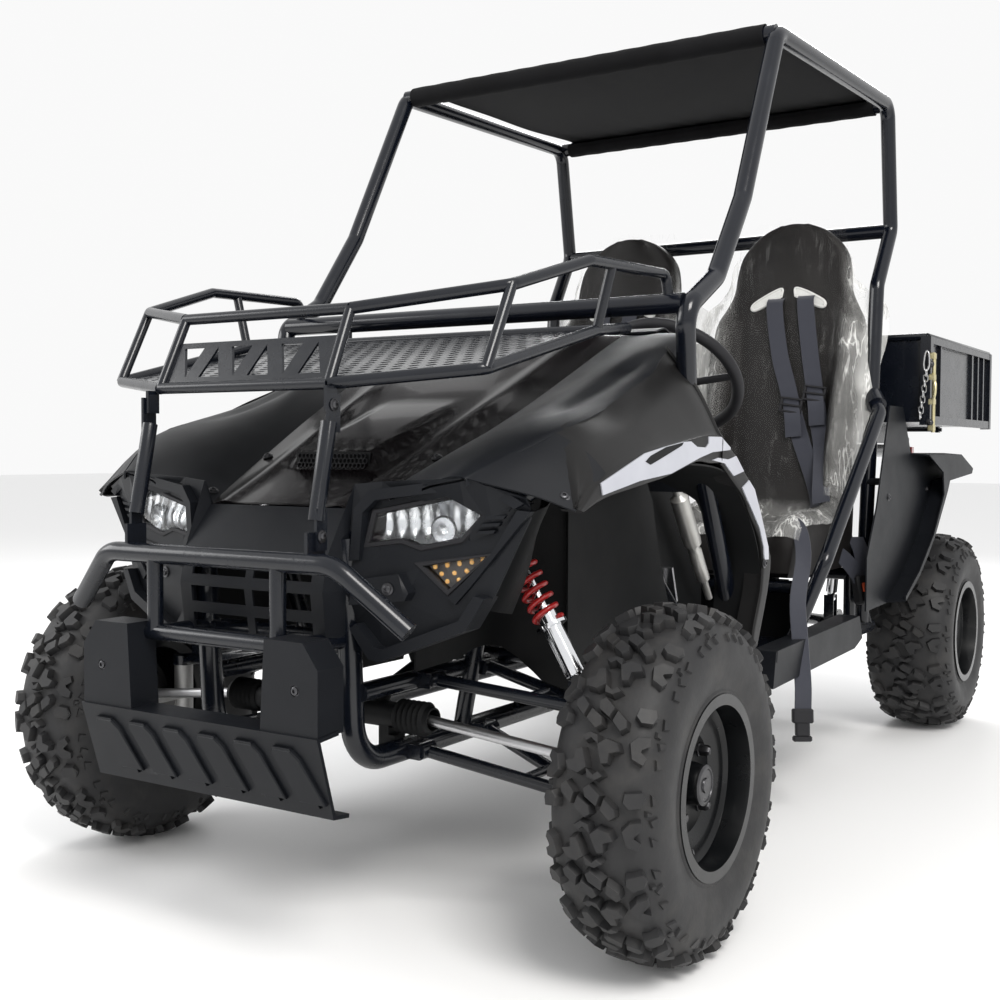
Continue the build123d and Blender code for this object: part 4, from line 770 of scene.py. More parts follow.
edgeRounding = {
    "front_fascia": 2.2, "bumper_guard": 1.6, "sill_panels": 4.0, "quarter_panels": 1.6, "bed_tub": 1.2,
    "tailgate": 1.4, "front_rim_left": 1.4, "front_rim_right": 1.4, "rear_rims": 1.4,
    "rack_struts": 1.0, "engine": 2.0, "tail_lamps": 1.5,
}
for name, width in edgeRounding.items():
    weld = nodes[name].modifiers.new("weld", "WELD")
    weld.merge_threshold = 0.00005
    bevel = nodes[name].modifiers.new("round", "BEVEL")
    bevel.width = width / 1000
    bevel.segments = 2
    bevel.limit_method = "ANGLE"
    bevel.angle_limit = math.radians(24)


# seats: a moulded bucket with bolsters, sewn channels and two belt slots

# front line of the seat: station, z, half width, bolster height, then station and z behind it
seatLine = [
    (957, 502, 176, 0, 972, 491), (957, 540, 182, 0, 990, 490), (966, 577, 186, 14, 1012, 490),
    (992, 597, 188, 26, 1042, 490), (1070, 600, 189, 32, 1092, 490), (1160, 595, 190, 38, 1180, 490),
    (1240, 592, 190, 46, 1262, 490), (1302, 599, 190, 60, 1330, 490), (1338, 628, 190, 72, 1388, 494),
    (1355, 690, 190, 73, 1404, 580), (1366, 770, 190, 68, 1418, 710), (1388, 890, 192, 56, 1438, 850),
    (1408, 1000, 198, 42, 1458, 975), (1422, 1080, 199, 26, 1474, 1065), (1428, 1120, 192, 12, 1482, 1110),
    (1433, 1152, 174, 4, 1488, 1146), (1439, 1192, 155, 0, 1494, 1188), (1447, 1240, 150, 0, 1502, 1236),
    (1455, 1288, 139, 0, 1509, 1284), (1462, 1324, 114, 0, 1514, 1320), (1467, 1350, 82, 0, 1517, 1346),
    (1470, 1366, 42, 0, 1518, 1362),
]
slotShape = [(22, 1176), (84, 1147), (88, 1162), (26, 1194)]
channelHeights = (735, 800, 865, 930, 995)
backLean = 0.16        # how far the backrest leans back for each mm of height


def seatSurface(u, row, grow=0.0):
    # a point of the seat's front at u from -1 to 1 across; grow lifts it off the seat
    station, z, half, bolster, ahead, up = row
    reach = abs(u)
    swell = min(1.0, max(0.0, (reach - 0.60) / 0.2))
    swell = swell * swell * (3 - 2 * swell)
    edge = max(0.0, (reach - 0.84) / 0.16)
    crown = 7 * (1 - (reach / 0.6) ** 2 if reach < 0.6 else 0)
    lift = bolster * swell * (1 - 0.55 * edge ** 2) + crown - 10 * edge ** 2.5
    lift += grow
    return Vector((u * (half + grow * 0.6), station + ahead * lift, z + up * lift))


def seatRows(steps):
    fine = curveThroughRows(seatLine, steps)
    rows = []
    for i, row in enumerate(fine):
        before, after = fine[max(i - 1, 0)], fine[min(i + 1, len(fine) - 1)]
        ds, dz = after[0] - before[0], after[1] - before[1]
        size = math.hypot(ds, dz)
        rows.append((row[0], row[1], row[2], max(row[3], 0), -dz / size, ds / size, row[4], row[5]))
    return rows


def curveThroughRows(table, steps):
    # the table's columns, three at a time, as smooth lines
    first = curveThrough([row[0:3] for row in table], steps)
    last = curveThrough([row[3:6] for row in table], steps)
    return [tuple(a) + tuple(b) for a, b in zip(first, last)]


def seatMesh():
    across = [math.sin(math.pi / 2 * k / 16) for k in range(-16, 17)]
    rings = []
    for row in seatRows(3):
        ring = []
        for u in across:
            point = seatSurface(u, row[:6])
            # sewn channels across the backrest and along the insert
            channel = 0
            if abs(u) < 0.58:
                channel = sum(math.exp(-((row[1] - z) / 5) ** 2) for z in channelHeights)
            seam = math.exp(-((abs(u) - 0.6) / 0.018) ** 2)
            dip = 3.2 * channel * (1 if row[0] > 1350 else 0) + 4.5 * seam
            ring.append(point - Vector((0, row[4], row[5])) * dip)
        for k in range(9):
            u = 1 - 2 * k / 8
            x = u * row[2] * 0.97
            bulge = 6 * (1 - u * u)
            ring.append(Vector((x, row[6] + bulge, row[7])))
        rings.append(ring)
    verts = [p for ring in rings for p in ring]
    size = len(rings[0])
    faces = []
    for i in range(len(rings) - 1):
        faces += joinRings(i * size, (i + 1) * size, size)
    faces.append(tuple(range(size)))
    faces.append(tuple((len(rings) - 1) * size + k for k in range(size)))
    return [at(v.x, v.y, v.z) for v in verts], faces


def slotLine(flip, grow, steps):
    # a belt slot's outline, grown about its middle and rounded
    corners = [Vector((flip * x, 0, z)) for x, z in slotShape]
    middle = sum(corners, Vector()) / 4
    return curveThrough([middle + (c - middle) * grow for c in corners + corners[:1]], steps)[:-1]


def cutSlots(piece):
    cutters = []
    for side in (-1, 1):
        outline = [(side * x, z) for x, z in slotShape]
        verts = [at(x, 1380, z) for x, z in outline] + [at(x, 1560, z) for x, z in outline]
        faces = [(0, 1, 2, 3), (7, 6, 5, 4)] + joinRings(0, 4, 4)
        cutters.append((verts, faces))
    tool = newPiece("slotCutter", *combine(cutters), "vinyl")
    cut = piece.modifiers.new("slots", "BOOLEAN")
    cut.object = tool
    cut.solver = "EXACT"
    applyModifiers(piece)
    bpy.data.objects.remove(tool)


def makeSeats():
    for side, name in ((1, "Left"), (-1, "Right")):
        verts, faces = seatMesh()
        seat = newPiece("seat" + name, verts, faces, "vinyl")
        cutSlots(seat)
        for vert in seat.data.vertices:
            vert.co.x = side * (vert.co.x + seatMiddle / 1000)
        if side < 0:
            seat.data.flip_normals()
        shadeSmooth(seat.data, 50)
        dress(seat, "seat_vinyl", "seat_" + name.lower())
        bezels = []
        for flip in (-1, 1):
            ring = [
                at(side * (seatMiddle + p.x), 1428 + (p.z - 1150) * backLean, p.z)
                for p in slotLine(flip, 1.12, 5)
            ]
            bezels.append(swept(ring, roundSection(0.0042, 8), (0, -1, 0), closed=True))
        addPiece("slotRims" + name, bezels, "pale", 40, "seat_vinyl")


makeSeats()
print("seats ready")


# clear film left on the seats: a loose bag, wider than the seat at the shoulders and behind the head

# half width of the bag at a height
bagEdge = [
    (540, 196), (600, 200), (754, 206), (905, 232), (1043, 247), (1113, 250), (1149, 240), (1181, 196),
    (1212, 163), (1245, 158), (1319, 136), (1360, 122), (1400, 106),
]


# in mm: the film's lift off the seat, its creases and their jitter, how much more the loose edges crease,
# how far they hang back, the ripple over it all, and columns of the film from its middle to the seat's edge
# and to its own
filmLook = {
    "lift": 7, "crease": 1.6, "jitter": 1.3, "looseCrease": 2.2, "hangBack": 34, "ripple": 2.0,
    "seatColumns": 14, "columns": 18,
}


def bagHalf(z):
    for (z0, h0), (z1, h1) in zip(bagEdge, bagEdge[1:]):
        if z < z1:
            return h0 + (h1 - h0) * max(0.0, (z - z0) / (z1 - z0))
    return bagEdge[-1][1]


def makeFilm():
    random.seed(11)
    onSeat = filmLook["seatColumns"]
    for side, name in ((1, "Left"), (-1, "Right")):
        rows = [row[:6] for row in seatRows(2) if row[0] >= 1340 or row[1] >= 560]
        last = rows[-1]
        rows.append((last[0] + 3, last[1] + 9, 34, 0, last[4], last[5]))
        rows.append((last[0] + 6, last[1] + 16, 30, 0, last[4], last[5]))
        grid = []
        for row in rows:
            half, z = row[2], row[1]
            outer = max(bagHalf(z) if row[0] > 1340 else half + 8, half + 6)
            line = []
            for c in range(-filmLook["columns"], filmLook["columns"] + 1):
                u = max(-1.0, min(1.0, c / onSeat))
                beyond = max(0, abs(c) - onSeat) / (filmLook["columns"] - onSeat) * (outer - half)
                wave = math.sin(c * 0.9 + z * 0.033 + side) * filmLook["crease"]
                crease = wave + random.uniform(-filmLook["jitter"], filmLook["jitter"])
                loose = 1.0 if abs(c) < 10 else filmLook["looseCrease"]
                point = seatSurface(u, row, filmLook["lift"] + crease * loose)
                x = point.x + beyond * (1 if c > 0 else -1)
                back = min(filmLook["hangBack"], beyond * 0.7)
                line.append(Vector((x, point.y + back + crease * beyond * 0.08, point.z)))
            grid.append(line)
        fine = smoothGrid(grid, 2, 2)
        for line in fine:
            for p in line:
                waves = math.sin(p.x * 0.11 + p.z * 0.05) * math.sin(p.z * 0.083 - p.x * 0.04)
                p.y += waves * filmLook["ripple"]
        verts, faces = openGrid([[at(side * (seatMiddle + p.x), p.y, p.z) for p in row] for row in fine])
        film = newPiece("seatFilm" + name, verts, faces, "film", 60)
        dress(film, "seat_vinyl")


makeFilm()
print("film ready")


# canopy: one cloth sleeved round both roof tubes, sagging between them

# in mm, the points across and along, and where the two seams lie along it
canopyLook = {
    "sag": 15, "sleeve": 21.5, "halfWidth": 440, "waist": 9, "gather": 4.5, "across": 72, "along": 84,
    "thickness": 1.4, "seams": (0.035, 0.965), "flat": (0.88, 0.99),
}


def makeCanopy():
    front, back = Vector((0, 725, 1618)), Vector((0, 1487, 1647))
    run = back - front
    length = run.length
    ahead = run / length
    up = Vector((0, -ahead.z, ahead.y))
    sleeve = canopyLook["sleeve"]
    profile = []

    def addSleeve(middle, first):
        for k in range(26):
            turn = math.radians(first + 300 * k / 25)
            profile.append((middle + (up * math.cos(turn) + ahead * math.sin(turn)) * sleeve, -1.0))

    addSleeve(front, -300)
    for k in range(1, canopyLook["along"]):
        share = k / canopyLook["along"]
        profile.append((front + run * share + up * sleeve, share))
    addSleeve(back, 0)
    grid = []
    for point, share in profile:
        row = []
        for c in range(canopyLook["across"] + 1):
            u = 2 * c / canopyLook["across"] - 1
            half = canopyLook["halfWidth"]
            drop = 0.0
            if share >= 0:
                bow = 4 * share * (1 - share)
                half -= canopyLook["waist"] * bow
                drop = canopyLook["sag"] * bow * (1 - 0.35 * u * u)
                near = math.exp(-share * 9) + math.exp(-(1 - share) * 9)
                gather = math.sin(u * 31 + 1.3 * math.sin(u * 7)) * 0.5 + math.sin(u * 53 + 2) * 0.3
                held = 1 - math.exp(-min(share, 1 - share) * 40)
                drop += near * held * gather * canopyLook["gather"]
                drop += 1.6 * math.sin(u * 6 + share * 11) * bow
            else:
                drop = 0.5 * math.sin(u * 41 + point.y * 0.2)
            row.append(at(u * half, point.y - up.y * drop, point.z - up.z * drop))
        grid.append(row)
    canopy = newPiece("canopy", *openGrid(grid), "cloth")
    thick = canopy.modifiers.new("thickness", "SOLIDIFY")
    thick.thickness = canopyLook["thickness"] / 1000
    thick.offset = 0
    applyModifiers(canopy)
    shadeSmooth(canopy.data, 50)
    dress(canopy, "canopy_cloth", "roof_canopy")
    hems = []
    for place in canopyLook["seams"]:
        middle = front + run * place + up * (sleeve + 1.4)
        line = [at((k / 20 - 1) * 430, middle.y, middle.z - 1.0) for k in range(41)]
        hems.append(swept(line, bandSection(0.011, 0.0012), (0, 0, 1)))
    seam = addPiece("canopySeams", hems, "cloth", 40, "canopy_cloth")


makeCanopy()
print("canopy ready")

# hood: smooth lofts over the CAD's sections, with ridges and a raised vent

hoodSections = [
    (-240, [(0, 684), (150, 684), (300, 722), (362, 734)]),
    (-100, [(0, 742), (190, 744), (320, 795), (430, 802)]),
    (130, [(0, 850), (235, 850), (330, 872), (425, 864)]),
    (412, [(0, 985), (265, 985), (350, 985), (420, 971)]),
    (452, [(0, 996), (275, 996), (352, 992), (412, 966)]),
]


# in mm: the vent's scoop, the ridges beside it and the scoop pressed into each crest
hoodLook = {
    "scoopHalf": 96, "scoopHeight": 27, "ridge": 5, "ridgeWidth": 16, "crestDepth": 9, "crestWidth": 20,
}


def bothSides(verts, faces):
    flipped = [face[::-1] for face in faces]
    return combine([(verts, faces), (mirrorVerts(verts), flipped)])


def makeHood():
    # the glossy middle: gently crowned, with a raised scoop whose riser carries the vent
    rows = []
    for station, half in hoodSections:
        z0, (x1, z1) = half[0][1], half[1]
        row = []
        for share in (-1, -0.66, -0.33, 0, 0.33, 0.66, 1):
            row.append((share * x1, station, z0 + (z1 - z0) * share ** 2 + 5 * (1 - share ** 2)))
        rows.append(row)
    grid = smoothGrid(rows, 14, 5)
    for line in grid:
        for p in line:
            inside = max(0.0, min(1.0, (hoodLook["scoopHalf"] - abs(p.x)) / 16))
            behind = max(0.0, min(1.0, (p.y + 112) / 8)) * max(0.0, min(1.0, (150 - p.y) / 210))
            p.z += hoodLook["scoopHeight"] * inside * inside * (3 - 2 * inside) * behind
            ridge = abs(p.x) - (120 + (p.y + 240) * 0.1)
            p.z += hoodLook["ridge"] * math.exp(-(ridge / hoodLook["ridgeWidth"]) ** 2)
    addPanel("hoodPanel", [gridAt(grid)], "gloss", 32, "hood_gloss", "hood_panel")

    # the two ridges, each with a rolled crest and a return down to the fender's seam
    rows = []
    for station, half in hoodSections:
        (x1, z1), (x2, z2), (x3, z3) = half[1], half[2], half[3]
        rows.append([
            (x1, station, z1), (x1 + (x2 - x1) * 0.45, station, z1 + (z2 - z1) * 0.62),
            (x2 - 6, station, z2 + 3),
            ((x2 + x3) / 2, station, (z2 + z3) / 2 + 8), (x3 - 3, station, z3 + 1), (x3, station, z3 - 12),
        ])
    grid = smoothGrid(rows, 10, 4)
    for line in grid:
        for p in line:
            # a shallow pressed scoop along the crest
            along = max(0.0, 1 - abs(p.y - 150) / 190)
            scoop = math.exp(-((p.x - 372 - (p.y - 150) * 0.02) / hoodLook["crestWidth"]) ** 2)
            p.z -= hoodLook["crestDepth"] * scoop * min(1, along * 2.2)
    ridge = gridAt(grid)
    corner = smoothGrid([
        [(362, -240, 734), (410, -222, 722), (460, -198, 708), (506, -172, 688)],
        [(398, -172, 772), (434, -160, 762), (474, -144, 742), (509, -132, 716)],
        [(430, -100, 802), (458, -98, 788), (488, -95, 768), (512, -92, 742)],
    ], 4, 3)
    sides = bothSides(*combine([ridge, gridAt(corner)]))
    addPanel("hoodSides", [sides], "body", 34, "body_plastic", "hood")

    # honeycomb in the riser, on a dark backing
    cell = []
    for radius, depth in ((0.0052, 0.0), (0.0043, 0.0), (0.0043, -0.006), (0.0052, -0.006)):
        turns = [math.radians(60 * k) for k in range(6)]
        cell.append([Vector((radius * math.cos(t), radius * math.sin(t), depth)) for t in turns])
    cellVerts = [p for ring in cell for p in ring]
    cellFaces = joinRings(0, 6, 6) + joinRings(6, 12, 6) + joinRings(12, 18, 6)
    spots = []
    for row in range(3):
        for column in range(17):
            x = (column - 8) * 8.6 + (4.3 if row % 2 else 0)
            if abs(x) < 74:
                spots.append((at(x, -113 + row * 1.0, 748 + row * 8), (0, -1, 0.15), 0.0, 1.0))
    comb = repeated("ventHoneycomb", (cellVerts, cellFaces), spots, "grip", 20)
    dress(comb, "body_plastic")
    back = smoothGrid([
        [(-80, -109, 741), (0, -109, 743), (80, -109, 741)],
        [(-80, -106, 771), (0, -106, 772), (80, -106, 771)],
    ], 2, 4)
    addPanel("ventBacking", [gridAt(back)], "liner", 40, "liner_plastic", thickness=0.002)


makeHood()
print("hood ready")


# front fenders: shoulder, crest, skirt and a lip turned in round the arch

# outer crest and arch edge round the wheel, each (station, z), and the shoulder's inner end
fenderRows = [
    ((-171, 690), (-158, 686), (500, -172, 690)),
    ((-92, 742), (-87, 706), (431, -99, 801)),
    ((46, 776), (40, 724), (428, 46, 838)),
    ((140, 788), (130, 736), (426, 140, 872)),
    ((237, 800), (240, 758), (425, 237, 906)),
    ((300, 808), (300, 756), (420, 290, 938)),
    ((346, 806), (340, 756), (416, 322, 952)),
    ((350, 804), (344, 755), (419, 326, 946)),
    ((388, 785), (363, 747), (480, 386, 782)),
    ((420, 768), (401, 725), (478, 418, 765)),
    ((458, 741), (444, 701), (478, 456, 738)),
    ((485, 724), (470, 682), (478, 483, 721)),
    ((513, 704), (487, 662), (478, 511, 701)),
    ((551, 649), (531, 622), (478, 549, 646)),
    ((589, 590), (552, 589), (478, 587, 590)),
    ((605, 561), (557, 563), (478, 603, 561)),
    ((589, 505), (549, 508), (478, 587, 505)),
    ((554, 434), (515, 440), (478, 552, 434)),
    ((537, 403), (507, 410), (478, 535, 403)),
]
stripeOutlines = [
    [
        (-110, 727), (36, 771), (112, 782), (179, 790), (211, 791), (236, 782), (273, 781), (286, 788),
        (287, 800), (341, 800), (384, 781), (382, 777), (303, 773), (251, 764), (134, 738), (19, 728),
        (-104, 709),
    ],
    [(302, 759), (327, 763), (374, 760), (411, 766), (449, 738), (400, 730), (358, 753)],
    [
        (442, 708), (475, 721), (504, 703), (540, 652), (579, 590), (581, 566), (560, 567), (555, 591),
        (532, 629), (488, 668),
    ],
]
slashOutline = [(37, 758), (55, 767), (112, 781), (179, 789), (173, 784), (113, 768), (55, 753)]


# the wheel well's roof line and inner wall, each (station, z)
linerLine = [
    (110, 752), (260, 753), (380, 738), (452, 694), (512, 636), (548, 580), (560, 520), (552, 450),
    (528, 372),
]
linerWall = [
    (110, 752), (400, 730), (436, 680), (462, 590), (500, 500), (540, 420), (560, 360), (540, 300),
    (200, 300), (110, 420),
]


# in mm from the vehicle's middle: the stripe and the slits laid over it, inner and outer faces
stripeFaces, slashFaces = (511.6, 514.0), (513.4, 514.8)


def sidePlates(outlines, inside, outside):
    # flat plates on both sides, between two distances from the middle
    return [
        plate(*([at(side * x, s, z) for s, z in outline] for x in (inside, outside)))
        for outline in outlines for side in (1, -1)
    ]


def makeFenders():
    rows = []
    for (so, zo), (si, zi), (xi, s1, z1) in fenderRows:
        rows.append([
            (xi, s1, z1), ((xi + 508) / 2 + 6, (s1 + so) / 2, (z1 + zo) / 2 + 7), (504, so, zo + 3),
            (511, so + (si - so) * 0.12, zo + (zi - zo) * 0.12), (512, (so + si) / 2, (zo + zi) / 2),
            (511, si, zi), (500, si, zi - 1), (474, si, zi + 1),
        ])
    grid = smoothGrid(rows, 5, 4)
    verts, faces = openGrid([[at(min(p.x, 512), p.y, p.z) for p in line] for line in grid])
    skirts = newPiece("frontFenders", *bothSides(verts, faces), "fender", recalc=False)
    outward = sum(face.normal.x * face.center.x * face.area for face in skirts.data.polygons)
    if outward < 0:
        skirts.data.flip_normals()
    dress(thickened(skirts, 0.003, 40), "body_plastic", "front_fenders")

    # the silver stripe laid on the skirt, and the dark slash over it
    addPiece("fenderStripes", sidePlates(stripeOutlines, *stripeFaces), "silver", 30, "body_plastic")
    addPiece("fenderSlits", sidePlates([slashOutline], *slashFaces), "liner", 30, "liner_plastic")

    # liners: a roof and back wall over the wheel, and inner walls that leave the footwell's side open
    line = curveThrough([(0, s, z) for s, z in linerLine], 5)
    strip = []
    for p in line:
        inner = 336 + 76 * max(0.0, min(1.0, (p.y - 400) / 60))
        strip.append([at(x, p.y, p.z) for x in (inner, (inner + 506) / 2, 506)])
    wall = [at(335, s, z) for s, z in linerWall]
    sheets = [openGrid(strip), (wall, [tuple(range(len(wall)))])]
    well = smoothGrid([
        [(250, -196, 700), (236, -190, 560), (228, -180, 430)],
        [(250, -60, 742), (236, -60, 560), (214, -60, 430)],
        [(262, 60, 790), (246, 60, 600), (232, 60, 440)],
        [(330, 130, 800), (330, 130, 600), (330, 130, 330)],
    ], 4, 3)
    sheets.append(gridAt(well))
    cheek = smoothGrid([
        [(446, -186, 686), (384, -200, 610), (340, -204, 545)],
        [(452, -150, 700), (400, -150, 600), (352, -152, 530)],
        [(400, -70, 742), (380, -88, 600), (352, -96, 520)],
    ], 3, 3)
    sheets.append(gridAt(cheek))
    liners = bothSides(*combine(sheets))
    addPanel("wheelWellLiners", [liners], "liner", 40, "liner_plastic", "wheel_well_liners")


makeFenders()
print("fenders ready")


# lamps: fluted reflector, black bezel, clear bulged lens; signals with a field of LEDs

lampOutline = [(187, 630), (200, 680), (322, 706), (372, 680), (338, 642), (275, 628), (244, 638)]
signalOutline = [(278, 602), (380, 620), (318, 566)]
# in mm: the reflector's flutes and how far the LEDs are scaled down
lampLook = {"fluteWidth": 21, "fluteDepth": 4, "bowlDepth": 26, "ledSize": 0.7}
# the low beam's bowl, (radius, height) in metres
eyeProfile = [(0.019, 0.0), (0.021, 0.006), (0.018, 0.009), (0.014, 0.004), (0.006, -0.004), (0, -0.006)]


def onLamp(x, z, out=0.0, side=1):
    # the lamp's plane runs back as it goes out; out is how far in front of it, in mm
    return at(side * x, -289 + 0.23 * x - out, z)


def grown(outline, amount):
    # the outline moved outwards by an amount in mm, corner by corner
    count = len(outline)
    area = sum(outline[i - 1][0] * outline[i][1] - outline[i][0] * outline[i - 1][1] for i in range(count))
    turn = 1 if area > 0 else -1
    moved = []
    for i, (x, z) in enumerate(outline):
        (px, pz), (nx, nz) = outline[i - 1], outline[(i + 1) % count]
        a = Vector((x - px, z - pz)).normalized()
        b = Vector((nx - x, nz - z)).normalized()
        normal = Vector((a.y + b.y, -a.x - b.x)) * turn
        reach = amount / max(0.35, 1 + a.dot(b))
        moved.append((x + normal.x * reach, z + normal.y * reach))
    return moved


def layered(outline, layers, side):
    # rings of the outline, each (growth, out), joined in order
    verts, faces = [], []
    count = len(outline)
    for growth, out in layers:
        verts += [onLamp(x, z, out, side) for x, z in grown(outline, growth)]
    for level in range(len(layers) - 1):
        faces += joinRings(level * count, (level + 1) * count, count)
    return verts, faces


def capped(shape, count, first, last):
    verts, faces = shape
    extra = [tuple(range(count))] if first else []
    start = len(verts) - count
    extra += [tuple(range(start, start + count))[::-1]] if last else []
    return verts, faces + extra


def makeLamps():
    bezels, lenses, bowls, flutes, signals, beds = [], [], [], [], [], []
    count = len(lampOutline)
    for side in (1, -1):
        ring = [(4, -8), (5, 3), (3, 6), (-2, 6), (-5, 0), (-5, -46), (-1, -46), (0, -8), (4, -8)]
        bezels.append(layered(lampOutline, ring, side))
        dome = [(-3, 0), (-3, 2), (-7, 5), (-16, 8), (-24, 9.5)]
        lenses.append(capped(layered(lampOutline, dome, side), count, False, True))
        # reflector: a shallow bowl with upright flutes
        rows = []
        for k in range(15):
            share = k / 14
            z = 634 + 66 * share
            row = []
            for c in range(49):
                x = 188 + 176 * c / 48
                flute = lampLook["fluteDepth"] * abs(math.sin((x - 188) / lampLook["fluteWidth"] * math.pi))
                depth = -14 - lampLook["bowlDepth"] * (1 - (2 * share - 1) ** 2) ** 0.5 + flute
                row.append(onLamp(x, z + 12 * (c / 48 - 0.3), depth, side))
            rows.append(row)
        bowls.append(openGrid(rows))
        bowls.append(capped(layered(lampOutline, [(-4, -44), (-4, -46)], side), count, True, True))
        eye = turned(eyeProfile, 28)
        flutes.append(placed(eye, onLamp(300, 656, -20, side), (0.23 * side, -1, 0)))
        # signal: a dark ribbed bed in a raised frame
        frameRing = [(5, -4), (7, 5), (5, 8), (0, 8), (-2, 2), (-2, -14)]
        bezels.append(layered(signalOutline, frameRing, side))
        beds.append(capped(layered(signalOutline, [(-1, -12), (-1, -6)], side), 3, False, True))
        cover = [(-1, 0), (-1, 3), (-3, 4.5)]
        signals.append(capped(layered(signalOutline, cover, side), 3, False, True))
    addPiece("lampBezels", bezels, "grip", 30, "body_plastic")
    addPiece("lampLenses", lenses, "lens", 40, "clear_lens", "headlamp_lenses")
    addPiece("lampReflectors", bowls + flutes, "reflector", 50, "lamp_reflector", "headlamps")
    addPiece("signalBeds", beds, "signalBed", 30, "amber_lens", "turn_signals")
    addPiece("signalCovers", signals, "lens", 30, "clear_lens")
    led = turned([(0.0052, 0.0), (0.0052, 0.002), (0.0042, 0.0045), (0.0022, 0.0058), (0, 0.0062)], 16)
    spots = []
    for x, z in (
        (292, 600), (311, 603), (330, 606), (349, 609), (366, 612), (302, 590), (322, 592), (341, 596),
        (311, 579), (329, 582),
    ):
        for side in (1, -1):
            spots.append((onLamp(x, z, -6, side), (0.22 * side, -1, 0), 0.0, lampLook["ledSize"]))
    leds = repeated("signalLeds", led, spots, "amber", 50)
    dress(leds, "amber_lens")


makeLamps()
print("lamps ready")

# dashboard, column strut, the dark panel under the seats and the skid plate's pads

dashLine = [
    (454, 1004), (478, 1011), (500, 1013), (528, 1001), (548, 983), (572, 925), (592, 868), (588, 780),
    (580, 692),
]
wheelHouse = [
    (392, 742), (380, 600), (400, 440), (470, 300), (700, 290), (838, 292), (842, 500), (760, 700),
    (640, 756),
]
strutLine = ((300, 604, 719), (300, 793, 457))
# a row of slanted pads on the skid plate, in mm
skidPads = {
    "rows": 6, "start": -213, "pitch": 74, "width": 50, "slant": 36, "top": 353, "bottom": 274, "lift": 6.4,
}


def makeInterior():
    line = curveThrough([(0, s, z) for s, z in dashLine], 4)
    grid = [[at(x, p.y, p.z) for x in (-330, -328, -200, -70, 70, 200, 328, 330)] for p in line]
    addPanel("dashPanel", [openGrid(grid)], "body", 40, "body_plastic", "dash_panel")
    # gas strut: rod, wide cylinder with a neck, and the lower tube
    top, foot = at(*strutLine[0]), at(*strutLine[1])
    length = (foot - top).length
    profile = [
        (0, 0), (0.009, 0.0), (0.009, 0.04), (0.014, 0.046), (0.019, 0.05), (0.0195, 0.16), (0.0185, 0.172),
        (0.012, 0.176), (0.012, 0.186), (0.0145, 0.19), (0.0145, 0.268), (0.008, 0.274), (0.008, length),
        (0, length),
    ]
    strut = placed(turned(profile, 24), top, foot - top)
    addPiece("columnStrut", [strut], "strut", 35, "shock_chrome", "tilt_strut")
    underSeat = ((1000, 486), (1030, 380), (1040, 255))
    panel = [[at(x, s, z) for x in (-405, -200, 0, 200, 405)] for s, z in underSeat]
    house = [at(258, s, z) for s, z in wheelHouse]
    houses = bothSides(house, [tuple(range(len(house)))])
    addPanel("innerPanels", [openGrid(panel), houses], "liner", 40, "liner_plastic")


def makeSkidPads():
    pads = []
    look = skidPads
    for row in range(look["rows"]):
        left = look["start"] + row * look["pitch"]
        right, top, bottom, slant = left + look["width"], look["top"], look["bottom"], look["slant"]
        outline = [
            (left + 3, top), (right - 14, top), (right, top - 12), (right + slant - 4, bottom),
            (left + slant - 2, bottom), (left, top - 6),
        ]
        count = len(outline)
        middle = Vector((sum(x for x, z in outline) / count, sum(z for x, z in outline) / count))
        verts = []
        for lift, inset in ((-1, 0.0), (look["lift"] - 2, 0.0), (look["lift"], 2.2)):
            for x, z in outline:
                pull = (middle - Vector((x, z))).normalized() * inset
                x2, z2 = x + pull.x, z + pull.y
                verts.append(at(x2, -418 - (z2 - 326) * 0.302 - lift * 0.96, z2 - lift * 0.29))
        faces = [tuple(range(2 * count, 3 * count))]
        pads.append((verts, faces + joinRings(0, count, count) + joinRings(count, 2 * count, count)))
    addPiece("skidPads", pads, "body", 25, "frame_satin")


makeInterior()
makeSkidPads()
print("interior ready")


# small parts: boxes, harness, buckles, bolts, wheel nuts and the bed's chain and latches

def boxShape(x, y, z, bevel=0.0):
    # a box round the origin in metres; its upright and top edges are cut when a bevel is given
    hx, hy, hz, b = x / 2, y / 2, z / 2, bevel
    ring = [
        (hx, hy - b), (hx - b, hy), (-hx + b, hy), (-hx, hy - b),
        (-hx, -hy + b), (-hx + b, -hy), (hx - b, -hy), (hx, -hy + b),
    ]
    top = [(u * (hx - b) / hx, v * (hy - b) / hy) for u, v in ring]
    verts = [Vector((u, v, -hz)) for u, v in ring]
    verts += [Vector((u, v, hz - b)) for u, v in ring]
    verts += [Vector((u, v, hz)) for u, v in top]
    return verts, [tuple(range(8))[::-1], tuple(range(16, 24))] + joinRings(0, 8, 8) + joinRings(8, 16, 8)


def moved(shape, x, y, z):
    return [Vector(v) + Vector((x, y, z)) for v in shape[0]], shape[1]


# shoulder belts: offset from the seat's middle and height, from the slot down to the cushion
beltLines = [
    [
        (-31, 1160), (-30, 1140), (-20, 1080), (-4, 1010), (18, 945), (38, 880), (66, 800), (98, 720),
        (126, 640),
    ],
    [
        (50, 1164), (52, 1144), (60, 1090), (72, 1020), (86, 950), (98, 890), (114, 810), (132, 730),
        (150, 650),
    ],
]
sliderHeights = (897, 922)
beltWidth = 0.044
beltThickness = 0.0018


def faceAt(rows, offset, z, grow):
    # the point of the backrest at an offset and height, with the way it faces
    row = min((r for r in rows if r[0] > 1350), key=lambda r: abs(r[1] - z))
    point = seatSurface(max(-1, min(1, offset / row[2])), row[:6], grow)
    return Vector((offset, point.y + (z - row[1]) * backLean, z)), Vector((0, row[4], row[5]))


